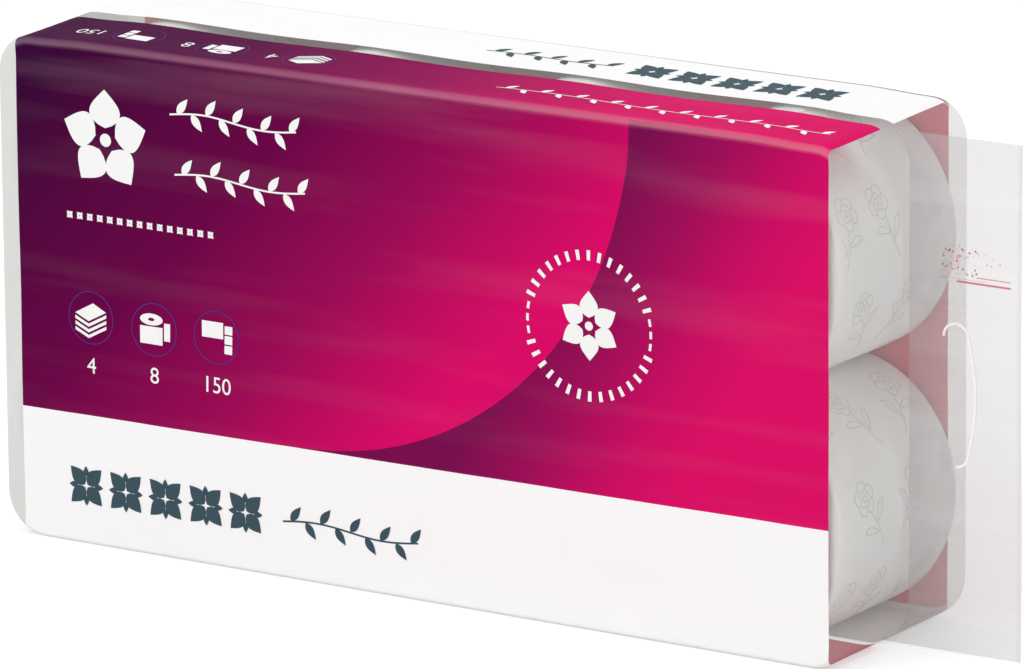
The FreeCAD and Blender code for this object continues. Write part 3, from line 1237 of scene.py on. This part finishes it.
@dataclass
class Artwork:
    """Flat shapes that are inked on the bag, each a patch with two parameters, in millimetres."""

    patches: list[np.ndarray] = field(default_factory=list)

    def petal(
        self, x: float, y: float, turn: float, start: float, end: float, width: float
    ) -> None:
        """Adds a leaf from one distance to another along a direction.

        Its half width is width / 2 * sin(pi * s^0.75) at the share s of its length.

        Args:
            x: Middle that the leaf points away from.
            y: The same on the other axis.
            turn: Direction, in degrees.
            start: Distance of its root.
            end: Distance of its tip.
            width: Full width.
        """
        share = np.linspace(0.0, 1.0, 15)
        half = width / 2 * np.sin(math.pi * share**0.75)
        side = np.linspace(-1.0, 1.0, 5)
        run = start + (end - start) * share
        angle = math.radians(turn)
        ahead = run[:, None] * np.ones(5)
        aside = half[:, None] * side
        self.patches.append(
            np.stack(
                [
                    x + ahead * math.cos(angle) - aside * math.sin(angle),
                    y + ahead * math.sin(angle) + aside * math.cos(angle),
                ],
                axis=-1,
            )
        )

    def arc(
        self,
        x: float,
        y: float,
        inner: float,
        outer: float,
        start: float = 0.0,
        end: float = 360.0,
        flat: float = 1.0,
    ) -> None:
        """Adds a piece of a ring, or a disc where inner is 0: r(s) * (cos t, flat * sin t).

        Args:
            x: Middle.
            y: The same on the other axis.
            inner: Inner radius.
            outer: Outer radius.
            start: First angle, in degrees.
            end: Last angle.
            flat: Height of the ring over its width.
        """
        steps = max(4, int(abs(end - start) / 9) + 1)
        turn = np.radians(np.linspace(start, end, steps))
        radius = np.linspace(max(inner, 1e-3), outer, 3)[:, None]
        ring = np.stack([x + radius * np.cos(turn), y + flat * radius * np.sin(turn)], axis=-1)
        self.patches.append(ring)

    def quad(self, *corners: tuple[float, float]) -> None:
        """Adds a four-sided patch that is divided so that it follows the film.

        Args:
            *corners: The corners, in order round the patch.
        """
        a, b, c, d = (np.array(corner) for corner in corners)
        s = np.linspace(0.0, 1.0, 6)[:, None, None]
        t = np.linspace(0.0, 1.0, 6)[None, :, None]
        self.patches.append((a * (1 - t) + b * t) * (1 - s) + (d * (1 - t) + c * t) * s)

    def line(self, points: np.ndarray, width: float) -> None:
        """Adds a stroke of even width along a run of points.

        Args:
            points: Points, n by 2.
            width: Full width.
        """
        run = np.gradient(points, axis=0)
        run /= np.maximum(np.linalg.norm(run, axis=1, keepdims=True), 1e-9)
        aside = np.stack([-run[:, 1], run[:, 0]], axis=1) * width / 2
        self.patches.append(np.stack([points - aside, points + aside]))

    def flower(self, x: float, y: float, size: float, petals: int, turn: float = 90.0) -> None:
        """Adds broad petals round a small eye.

        Args:
            x: Middle.
            y: The same on the other axis.
            size: Radius to the petals' tips.
            petals: How many petals.
            turn: Direction of the first one, in degrees.
        """
        for number in range(petals):
            angle = turn + 360.0 * number / petals
            self.petal(x, y, angle, size * 0.24, size, size * 3.6 / petals)
        self.arc(x, y, 0.0, size * 0.13, 0.0, 360.0)

    def sprig(self, start: float, end: float, y: float, height: float, leaves: int) -> None:
        """Adds a swaying stem with leaves in turn above and below it.

        The stem is y + height * 0.1 * sin(2 pi s) at the share s of its length.

        Args:
            start: Left end.
            end: Right end.
            y: Middle of the stem.
            height: Height of the whole row.
            leaves: How many leaves.
        """
        share = np.linspace(0.0, 1.0, 40)
        stem = y + height * 0.1 * np.sin(2.0 * math.pi * share)
        self.line(np.stack([start + (end - start) * share, stem], axis=1), height * 0.055)
        for number in range(leaves):
            place = (number + 0.5) / leaves
            root_x = start + (end - start) * place
            root_y = y + height * 0.1 * math.sin(2.0 * math.pi * place)
            side = 1 if number % 2 == 0 else -1
            self.petal(root_x, root_y, side * 52.0, height * 0.03, height * 0.62, height * 0.26)

    def tile(self, x: float, y: float, size: float) -> None:
        """Adds a rosette of four leaves on the diagonals with a lens between each two.

        Args:
            x: Middle.
            y: The same on the other axis.
            size: Half of the tile's width.
        """
        for number in range(4):
            self.petal(x, y, 45.0 + 90.0 * number, size * 0.1, size * 1.28, size * 0.78)
            self.petal(x, y, 90.0 * number, size * 0.5, size * 1.0, size * 0.3)

    def build(
        self, name: str, form: BagForm, side: Side, material: bpy.types.Material
    ) -> bpy.types.Object:
        """Lays the shapes on a face of the bag as one piece.

        Args:
            name: Name of the piece.
            form: The bag's form.
            side: Face that the shapes lie on.
            material: The ink.

        Returns:
            The piece.
        """
        parts = MeshParts()
        lay = form.on_front if side is Side.FRONT else form.on_top
        for number, patch in enumerate(self.patches):
            proud = INK_LIFT + INK_STEP * (number % 4)
            parts.add_grid(lay(patch[..., 0] * MM, patch[..., 1] * MM, proud))
        return parts.build(name, [material], outwards=False)


def numeral(text: str, x: float, y: float, height: float) -> tuple[np.ndarray, list[list[int]]]:
    """Draws a plain number as flat faces.

    Args:
        text: The number.
        x: Its middle, in millimetres.
        y: Its foot, in millimetres.
        height: Height of its figures, in millimetres.

    Returns:
        Its points, n by 2, in millimetres, and its faces.
    """
    curve = bpy.data.curves.new("number", "FONT")
    curve.body = text
    curve.align_x = "CENTER"
    curve.size = height / 0.69
    holder = bpy.data.objects.new("number", curve)
    bpy.context.scene.collection.objects.link(holder)
    mesh = bpy.data.meshes.new_from_object(holder)
    points = np.empty(len(mesh.vertices) * 3)
    mesh.vertices.foreach_get("co", points)
    faces = [list(polygon.vertices) for polygon in mesh.polygons]
    bpy.data.objects.remove(holder)
    bpy.data.curves.remove(curve)
    bpy.data.meshes.remove(mesh)
    return points.reshape(-1, 3)[:, :2] + np.array([x, y]), faces


@dataclass
class PackArtwork:
    """All the ornaments: a flower, leaf rows, three ringed signs, a roundel and a tile row."""

    form: BagForm
    white: bpy.types.Material
    slate: bpy.types.Material
    ring: bpy.types.Material

    def build(self) -> list[bpy.types.Object]:
        """Builds the ornaments.

        Returns:
            The pieces.
        """
        return [self._white_front(), self._rings(), self._slate_front(), *self._top()]

    def _white_front(self) -> bpy.types.Object:
        """Draws all that is white on the front panel.

        Returns:
            The piece.
        """
        art = Artwork()
        art.flower(-162.0, 187.0, 23.0, 5)
        art.sprig(-127.0, -60.0, 203.0, 15.0, 9)
        art.sprig(-125.0, -56.0, 176.0, 15.0, 9)
        for number in range(15):
            art.tile(-182.0 + 5.4 * number, 151.0, 1.7)
        self._sheets_sign(art, -171.7, 104.9)
        self._roll_sign(art, -137.6, 103.9)
        self._strip_sign(art, -104.3, 104.7)
        x, y = 90.4, 136.0
        art.flower(x, y, 15.5, 6)
        for number in range(36):
            angle = 10.0 * number
            if min(angle % 180.0, 180.0 - angle % 180.0) > 14.0:
                art.arc(x, y, 29.0, 33.5, angle - 1.6, angle + 1.6)
            else:
                art.arc(x, y, 30.6, 31.9, angle - 3.0, angle + 3.0)
        piece = art.build("front_white", self.form, Side.FRONT, self.white)
        numbers = MeshParts()
        for text, middle in (("4", -171.7), ("8", -137.6), ("150", -104.3)):
            flat, faces = numeral(text, middle, 79.5, 7.2)
            flat = self.form.on_front(flat[:, 0] * MM, flat[:, 1] * MM, INK_LIFT + INK_STEP)
            numbers.add_faces(flat, faces)
        plain = numbers.build("front_numbers", [self.white], outwards=False)
        return join_pieces(piece, plain)

    @staticmethod
    def _sheets_sign(art: Artwork, x: float, y: float) -> None:
        """Draws a sheet seen from a corner, with the edges of three more layers under it.

        Args:
            art: Artwork that the sign is added to.
            x: Middle of the sign.
            y: The same on the other axis.
        """
        left, foot, right = (x - 8.4, y + 1.6), (x - 1.2, y - 1.6), (x + 8.4, y + 3.4)
        art.quad(left, foot, right, (x + 1.2, y + 6.8))
        for number in range(1, 4):
            low = 2.6 * number
            ends = [(corner[0], corner[1] - low) for corner in (left, foot, right)]
            tops = [(corner[0], corner[1] + 1.5) for corner in ends]
            art.quad(ends[0], ends[1], tops[1], tops[0])
            art.quad(ends[1], ends[2], tops[2], tops[1])

    @staticmethod
    def _roll_sign(art: Artwork, x: float, y: float) -> None:
        """Draws a standing roll with its loose sheet beside it.

        Args:
            art: Artwork that the sign is added to.
            x: Middle of the sign.
            y: The same on the other axis.
        """
        art.arc(x - 1.4, y + 4.6, 1.7, 6.0, flat=0.44)
        art.quad((x - 7.4, y - 6.6), (x + 4.6, y - 6.6), (x + 4.6, y + 1.4), (x - 7.4, y + 1.4))
        art.quad((x + 5.4, y - 4.4), (x + 8.6, y - 4.4), (x + 8.6, y + 3.6), (x + 5.4, y + 3.6))

    @staticmethod
    def _strip_sign(art: Artwork, x: float, y: float) -> None:
        """Draws a lying roll from the side, with three sheets that hang from it.

        Args:
            art: Artwork that the sign is added to.
            x: Middle of the sign.
            y: The same on the other axis.
        """
        art.quad((x - 8.0, y - 0.4), (x + 3.4, y - 0.4), (x + 3.4, y + 7.0), (x - 8.0, y + 7.0))
        for number in range(3):
            low = y + 2.0 - 4.4 * number
            art.quad((x + 4.2, low), (x + 8.4, low), (x + 8.4, low + 3.8), (x + 4.2, low + 3.8))

    def _rings(self) -> bpy.types.Object:
        """Draws the thin rings of the three signs.

        Returns:
            The piece.
        """
        art = Artwork()
        for x, y in ((-171.7, 104.9), (-137.6, 103.9), (-104.3, 104.7)):
            art.arc(x, y, 11.7, 12.15, 0.0, 360.0)
        return art.build("front_rings", self.form, Side.FRONT, self.ring)

    def _slate_front(self) -> bpy.types.Object:
        """Draws the dark tiles and the thin sprig on the white band.

        Returns:
            The piece.
        """
        art = Artwork()
        for number in range(5):
            art.tile(-176.0 + 21.5 * number, 27.0, 9.2)
        art.sprig(-70.0, 1.0, 26.0, 15.0, 9)
        return art.build("front_slate", self.form, Side.FRONT, self.slate)

    def _top(self) -> list[bpy.types.Object]:
        """Draws smaller ornaments of the same kinds on the two strips of the top.

        Returns:
            The pieces.
        """
        # The signs and numbers of the top face the back, so they are drawn turned half round.
        white = Artwork()
        self._strip_sign(white, 158.0, 27.5)
        self._roll_sign(white, 113.0, 28.5)
        self._sheets_sign(white, 67.0, 29.5)
        white.patches = [-patch for patch in white.patches]
        white.sprig(31.0, 199.0, -30.0, 11.0, 19)
        numbers = MeshParts()
        for text, middle in (("150", 182.5), ("8", 131.0), ("4", 86.0)):
            flat, faces = numeral(text, middle, 26.0, 7.2)
            flat = self.form.on_top(-flat[:, 0] * MM, -flat[:, 1] * MM, INK_LIFT + INK_STEP)
            numbers.add_faces(flat, faces)
        rings = Artwork()
        for x, y in ((-158.0, -28.0), (-113.0, -28.5), (-67.0, -29.0)):
            rings.arc(x, y, 11.5, 11.9, 0.0, 360.0)
        slate = Artwork()
        for number in range(5):
            slate.tile(76.5 + 21.5 * number, 24.0, 9.4)
        slate.sprig(-9.0, 57.0, 24.0, 14.0, 9)
        printed = white.build("top_white", self.form, Side.TOP, self.white)
        plain = numbers.build("top_numbers", [self.white], outwards=False)
        return [
            join_pieces(printed, plain),
            rings.build("top_rings", self.form, Side.TOP, self.ring),
            slate.build("top_slate", self.form, Side.TOP, self.slate),
        ]


def join_pieces(first: bpy.types.Object, second: bpy.types.Object) -> bpy.types.Object:
    """Joins the second piece's mesh into the first, with the same materials.

    Args:
        first: Piece that is kept.
        second: Piece that is taken up.

    Returns:
        The first piece.
    """
    both = bmesh.new()
    both.from_mesh(first.data)
    both.from_mesh(second.data)
    both.to_mesh(first.data)
    both.free()
    taken = second.data
    bpy.data.objects.remove(second)
    bpy.data.meshes.remove(taken)
    return first


@dataclass
class TearMark:
    """Red print on the fin over the slit: scattered dots, a row of fine dots and two lines."""

    fin: CarryingFin
    left: float = 236.5
    right: float = 269.7
    foot: float = 163.0
    head: float = 182.0

    def build(self, material: bpy.types.Material) -> bpy.types.Object:
        """Draws the mark.

        Args:
            material: The ink.

        Returns:
            The piece.
        """
        art = Artwork()
        random = np.random.default_rng(7)
        for _ in range(95):
            x = self.left + (self.right - self.left) * random.beta(1.0, 2.4)
            y = self.foot + 5.0 + (self.head - self.foot - 6.0) * random.random()
            art.arc(x, y, 0.0, 0.16 + 0.38 * random.random() ** 3)
        for number in range(22):
            x = self.left - 1.0 + 1.05 * number
            art.arc(x, self.foot + 3.2, 0.0, 0.2, 0.0, 360.0)
        ends = np.linspace(self.left + 7.0, self.right, 12)
        art.line(np.stack([ends, np.full(12, self.foot + 2.0)], axis=1), 0.8)
        art.line(np.stack([ends[4:], np.full(8, self.foot + 4.6)], axis=1), 0.35)
        parts = MeshParts()
        for patch in art.patches:
            flat = patch * MM
            parts.add_grid(self.fin.place(flat[..., 0], flat[..., 1], 0.0002))
        return parts.build("tear_mark", [material], outwards=False)


@dataclass
class PaperRoll:
    """One roll: an oval winding with soft rims, a loose end and an embossed flower pattern."""

    name: str
    half_width: float
    half_height: float
    half_length: float
    x: float
    z: float
    bore: float = 0.02255
    rim: float = 0.0024
    tail: float = 0.0005
    turn_spacing: float = 0.0016
    line_width: float = 0.00065
    line_height: float = 0.00018
    motif_size: float = 1.35

    def _radius(self, turn: np.ndarray, start: float) -> np.ndarray:
        """Gives the side's distance from the middle: an oval less a step that unwinds.

        Args:
            turn: Angles about the roll's middle, in radians.
            start: Angle of the loose end.

        Returns:
            The distances.
        """
        oval = self.half_width * self.half_height / np.hypot(
            self.half_height * np.cos(turn), self.half_width * np.sin(turn)
        )
        return oval - self.tail * np.clip((turn - start) / (2.0 * math.pi), 0.0, 1.0)

    def build(
        self, tissue: bpy.types.Material, line: bpy.types.Material, start: float
    ) -> bpy.types.Object:
        """Carries a section round the roll: bore, end face, rim, side, rim and end face.

        Args:
            tissue: The paper.
            line: The pressed lines.
            start: Angle of the loose end, in radians.

        Returns:
            The roll.
        """
        turn = np.linspace(start, start + 2.0 * math.pi, 150)
        share = np.concatenate([[0.0], np.linspace(0.0, 1.0, 12), np.ones(7), np.ones(14)])
        angles = np.linspace(0.0, math.pi / 2, 8)[1:]
        depth = np.concatenate(
            [
                [0.0],
                np.full(12, -self.half_length),
                -self.half_length + self.rim * (1 - np.cos(angles)),
                np.linspace(-self.half_length + self.rim, 0.0, 15)[1:],
            ]
        )
        inset = np.concatenate(
            [np.zeros(12), [self.rim], self.rim * (1 - np.sin(angles)), np.zeros(14)]
        )
        share = np.concatenate([share, share[::-1][1:]])
        inset = np.concatenate([inset, inset[::-1][1:]])
        depth = np.concatenate([depth, -depth[::-1][1:]])
        outer = self._radius(turn, start)[:, None]
        flat_face = (share < 1.0) & (np.abs(depth) > self.half_length * 0.99)
        edge = np.where(flat_face, self.rim, inset)[None, :]
        radius = self.bore + (outer - edge - self.bore) * share[None, :]
        points = np.stack(
            [
                self.x + radius * np.cos(turn)[:, None],
                np.broadcast_to(depth[None, :], radius.shape),
                self.z + radius * np.sin(turn)[:, None],
            ],
            axis=-1,
        )
        layers = (radius - self.bore) / self.turn_spacing + turn[:, None] / (2.0 * math.pi)
        marked = np.where(np.abs(depth) > self.half_length - 1e-5, 1.0, 0.0) * (share < 0.9)
        sheet = np.stack([layers, np.broadcast_to(marked[None, :], radius.shape)], axis=-1)
        parts = MeshParts()
        parts.add_grid(points, sheet)
        closing = np.stack([points[-1], points[0]])
        parts.add_grid(closing, np.stack([sheet[-1], sheet[0]]))
        self._emboss(parts, start)
        return parts.build(self.name, [tissue, line], outwards=False)

    def _motif(self) -> list[np.ndarray]:
        """Draws one flower in millimetres, as strokes: petalled rims, a stem and two leaves.

        Each rim is r = base + swing * sqrt|cos(2.5 t + shift)|, five round petals.

        Returns:
            The strokes, each n by 2.
        """
        turn = np.linspace(0.0, 2.0 * math.pi, 71)
        strokes = []
        for base, swing, shift in ((3.6, 2.1, 0.0), (2.0, 1.1, 0.9), (0.8, 0.3, 0.0)):
            radius = base + swing * np.sqrt(np.abs(np.cos(2.5 * turn + shift)))
            strokes.append(np.stack([radius * np.cos(turn), radius * np.sin(turn) + 7.0], axis=1))
        run = np.linspace(0.0, 1.0, 18)
        strokes.append(np.stack([1.6 * np.sin(run * 2.4), 1.6 - 15.0 * run], axis=1))
        for side, low in ((1.0, -4.0), (-1.0, -7.0)):
            for swell in (2.3, -0.6):
                out = side * 7.5 * run
                bow = low + 4.6 * run + swell * np.sin(math.pi * run)
                strokes.append(np.stack([out + 0.9, bow], axis=1))
        return strokes

    def _emboss(self, parts: MeshParts, start: float) -> None:
        """Lays the flowers over the side in staggered rows, as low ridges along their strokes.

        Args:
            parts: The roll's surfaces, which the ridges are added to.
            start: Angle of the loose end.
        """
        turn = np.linspace(0.0, 2.0 * math.pi, 721)
        radius = self._radius(turn + start, start)
        flat = np.stack([radius * np.cos(turn + start), radius * np.sin(turn + start)], axis=1)
        lengths = np.concatenate([[0.0], np.cumsum(np.hypot(*np.diff(flat, axis=0).T))])
        around = lengths[-1]
        rows = 8
        pitch = around / rows
        random = np.random.default_rng(int(abs(self.x) * 1e4 + self.z * 1e5))
        for row in range(rows):
            for column in range(3):
                middle = -self.half_length + (column + 0.5 + 0.5 * (row % 2 - 0.5)) * 0.033
                slant = 26.0 * (1 if (row + column) % 2 else -1)
                lean = math.radians(slant + random.uniform(-5, 5))
                flip = -1.0 if column % 2 else 1.0
                for stroke in self._motif():
                    x = stroke[:, 0] * flip * self.motif_size * MM
                    y = stroke[:, 1] * self.motif_size * MM
                    across = middle + x * math.cos(lean) - y * math.sin(lean)
                    along = pitch * (row + 0.5) + x * math.sin(lean) + y * math.cos(lean)
                    self._ridge(parts, across, along % around, lengths, turn + start, start)

    def _ridge(
        self,
        parts: MeshParts,
        across: np.ndarray,
        along: np.ndarray,
        lengths: np.ndarray,
        turns: np.ndarray,
        start: float,
    ) -> None:
        """Raises a ridge of three points across along one stroke of the pattern.

        Args:
            parts: The roll's surfaces, which the ridge is added to.
            across: The stroke's places along the roll.
            along: Its places round the roll.
            lengths: Distances round the roll at the angles in turns.
            turns: Those angles, in radians.
            start: Angle of the loose end.
        """
        inside = np.abs(across) < self.half_length - self.rim - self.line_width
        if inside.sum() < 4 or np.ptp(along) > 0.1:
            return
        across, along = across[inside], along[inside]
        if np.max(np.hypot(np.diff(across), np.diff(along))) > 0.004:
            return
        run = np.stack([np.gradient(across), np.gradient(along)], axis=1)
        run /= np.maximum(np.linalg.norm(run, axis=1, keepdims=True), 1e-9)
        aside = np.stack([-run[:, 1], run[:, 0]], axis=1) * self.line_width / 2
        rows = []
        for side, lift in ((-1.0, 0.0), (0.0, self.line_height), (1.0, 0.0)):
            turn = np.interp(along + aside[:, 1] * side, lengths, turns)
            radius = self._radius(turn, start) + lift + 0.00003
            rows.append(
                np.stack(
                    [
                        self.x + radius * np.cos(turn),
                        across + aside[:, 0] * side,
                        self.z + radius * np.sin(turn),
                    ],
                    axis=1,
                )
            )
        parts.add_grid(np.stack(rows), slot=1)


@dataclass(frozen=True)
class Studio:
    """A plain pale floor, soft light from all round, and the camera."""

    place: tuple = (2.16937, -3.34346, 1.14334)
    yaw: float = 0.5766012655
    pitch: float = 0.2531437528
    roll: float = -0.0087072380
    lens: float = 331.30
    room_light: float = 0.55
    floor_lit: tuple[float, float] = (0.86, 0.88)
    floor_seen: tuple[float, float] = (0.57, 0.59)
    floor_glow: float = 0.55
    floor_reach: float = 7.0
    floor_drop: float = 0.0002

    def build(self) -> None:
        """Sets the stage."""
        scene = bpy.context.scene
        scene.view_settings.view_transform = "Standard"
        self._camera(scene)
        self._floor()
        self._world(scene)
        self._lamp("key", (-1.6, -2.6, 2.4), 2.2, 50.0)
        self._lamp("top", (0.2, 0.3, 3.2), 2.6, 25.0)
        self._lamp("fill", (2.8, -0.8, 1.2), 1.8, 17.0)

    def _camera(self, scene: bpy.types.Scene) -> None:
        """Puts the camera where it looks along the yaw and pitch, rolled about that line.

        Args:
            scene: The scene that gets the camera.
        """
        forward = np.array(
            [
                -math.sin(self.yaw) * math.cos(self.pitch),
                math.cos(self.yaw) * math.cos(self.pitch),
                -math.sin(self.pitch),
            ]
        )
        level = np.array([math.cos(self.yaw), math.sin(self.yaw), 0.0])
        upright = np.cross(level, forward)
        right = math.cos(self.roll) * level + math.sin(self.roll) * upright
        up = -math.sin(self.roll) * level + math.cos(self.roll) * upright
        lens = bpy.data.cameras.new("camera")
        lens.lens = self.lens
        lens.sensor_width = 36.0
        lens.clip_end = 60.0
        camera = bpy.data.objects.new("camera", lens)
        axes = np.stack([right, up, -forward], axis=1)
        camera.matrix_world = Matrix.Translation(self.place) @ Matrix(axes.tolist()).to_4x4()
        scene.collection.objects.link(camera)
        scene.camera = camera

    def _floor(self) -> None:
        """Lays a wide pale floor that shows white and keeps the pack's soft shadow."""
        material, graph, shader = new_material("pale_floor")
        place = graph.node("ShaderNodeTexCoord").outputs["Object"]
        cloud = graph.noise(place, (1.5, 1.5, 1.5), 2.0)
        # The camera sees a share of even white on the floor, and that much less of its own grey.
        seen = graph.node("ShaderNodeLightPath").outputs["Is Camera Ray"]
        lit, shown = (
            graph.mix(cloud, (low, low, low, 1.0), (high, high, high, 1.0))
            for low, high in (self.floor_lit, self.floor_seen)
        )
        graph.feed(shader.inputs["Base Color"], graph.mix(seen, lit, shown))
        shader.inputs["Roughness"].default_value = 0.9
        shader.inputs["Specular IOR Level"].default_value = 0.1
        shader.inputs["Emission Color"].default_value = (1.0, 1.0, 1.0, 1.0)
        glow = graph.math("MULTIPLY", seen, self.floor_glow)
        graph.feed(shader.inputs["Emission Strength"], glow)
        parts = MeshParts()
        line = np.linspace(-self.floor_reach, self.floor_reach, 3)
        x, y = np.meshgrid(line, line, indexing="ij")
        parts.add_grid(np.stack([x, y, np.full(x.shape, -self.floor_drop)], axis=-1))
        floor = parts.build("floor", [material], outwards=False)
        floor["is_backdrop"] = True

    def _world(self, scene: bpy.types.Scene) -> None:
        """Surrounds the pack with even light that the camera and reflections see as white.

        Args:
            scene: The scene that gets the world.
        """
        world = bpy.data.worlds.new("studio")
        world.use_nodes = True
        graph = Graph(world.node_tree)
        background = world.node_tree.nodes["Background"]
        background.inputs["Color"].default_value = (1.0, 1.0, 1.0, 1.0)
        path = graph.node("ShaderNodeLightPath")
        camera, through = path.outputs["Is Camera Ray"], path.outputs["Is Transmission Ray"]
        direct = graph.math("MAXIMUM", camera, through)
        seen = graph.math("MAXIMUM", direct, path.outputs["Is Glossy Ray"])
        strength = graph.math("MULTIPLY_ADD", seen, 1.0 - self.room_light, self.room_light)
        graph.feed(background.inputs["Strength"], strength)
        scene.world = world

    @staticmethod
    def _lamp(name: str, place: tuple[float, float, float], size: float, power: float) -> None:
        """Hangs a square soft box that faces the pack.

        Args:
            name: Name of the lamp.
            place: Its middle.
            size: Length of its sides.
            power: Its power, in watts.
        """
        light = bpy.data.lights.new(name, "AREA")
        light.size = size
        light.energy = power
        lamp = bpy.data.objects.new(name, light)
        aim = -np.array(place) + np.array([0.0, 0.0, 0.1])
        aim /= np.linalg.norm(aim)
        side = np.cross(aim, [0.0, 0.0, 1.0])
        side /= np.linalg.norm(side)
        up = np.cross(side, aim)
        axes = np.stack([side, up, -aim], axis=1)
        lamp.matrix_world = Matrix.Translation(place) @ Matrix(axes.tolist()).to_4x4()
        bpy.context.scene.collection.objects.link(lamp)


@dataclass
class RollPack:
    """The whole pack, built from its film, rolls, cores and print."""

    form: BagForm = field(default_factory=BagForm)

    def build(self, nodes: dict[str, bpy.types.Object]) -> None:
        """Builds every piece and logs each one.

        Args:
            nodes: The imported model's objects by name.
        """
        self._film()
        self._rolls()
        self._cores(nodes)

    def _film(self) -> None:
        """Builds the bag, the fin and the print on them."""
        creases = film_creases()
        fin = CarryingFin(self.form, SlitPath())
        white = Ink("white_ink", srgb(251, 251, 250))
        slate = Ink("slate_ink", srgb(62, 84, 94))
        bag = FilmBag(self.form).build(PrintedFilm(creases).material())
        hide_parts("film_wrap")
        flat = fin.build(
            MilkyFilm(creases).material(),
            MilkyFilm(creases, "welded_film", srgb(240, 239, 240), 0.16).material(),
            # The slit's lips are white with a faint painted glow, light that no lamp gives them.
            Ink("cut_edge_painted_glow", srgb(255, 255, 255), glow=0.14).material(),
        )
        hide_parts("film_wrap")
        pieces = PackArtwork(
            self.form,
            white.material(),
            slate.material(),
            Ink("ring_ink", srgb(84, 50, 132)).material(),
        ).build()
        red = Ink("red_ink", srgb(226, 128, 146)).material()
        pieces.append(TearMark(fin).build(red))
        for piece in (bag, flat, *pieces):
            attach(piece, "root")
            LOG.info("%s: %d faces", piece.name, len(piece.data.polygons))

    @staticmethod
    def _rolls() -> None:
        """Builds each roll inside the box of the solid that it stands for."""
        tissue, line = Tissue().material(), PressedLine().material()
        for number in range(1, 9):
            name = f"roll_{number}"
            low, high = (np.array(corner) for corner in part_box(name))
            middle, half = (low + high) / 2, (high - low) / 2
            roll = PaperRoll(
                f"{name}_paper", half[0], half[2], half[1], middle[0], middle[2]
            ).build(tissue, line, math.radians(150.0 + 37.0 * number))
            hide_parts(name)
            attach(roll, "root")
            LOG.info("%s: %d faces", roll.name, len(roll.data.polygons))

    @staticmethod
    def _cores(nodes: dict[str, bpy.types.Object]) -> None:
        """Gives the board tubes their finish."""
        board = CoreBoard().material()
        for number in range(1, 9):
            tube = nodes[f"core_{number}"]
            tube.data.materials.clear()
            tube.data.materials.append(board)
            LOG.info("%s: board", tube.name)


def plain(box: object) -> list[list[float]]:
    """Turns a box's corners into plain lists of numbers."""
    return [[float(value) for value in corner] for corner in box]


def main() -> None:
    """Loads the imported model, builds the pack and the studio, and notes the sizes."""
    logging.basicConfig(level=logging.INFO, format="%(name)s: %(message)s")
    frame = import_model()
    packed = plain(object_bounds())
    Studio().build()
    RollPack().build(frame["nodes"])
    sizes = {"cad": packed, "visual": plain(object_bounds())}
    LOG.info("sizes: %s", sizes)


if __name__ == "__main__":
    main()
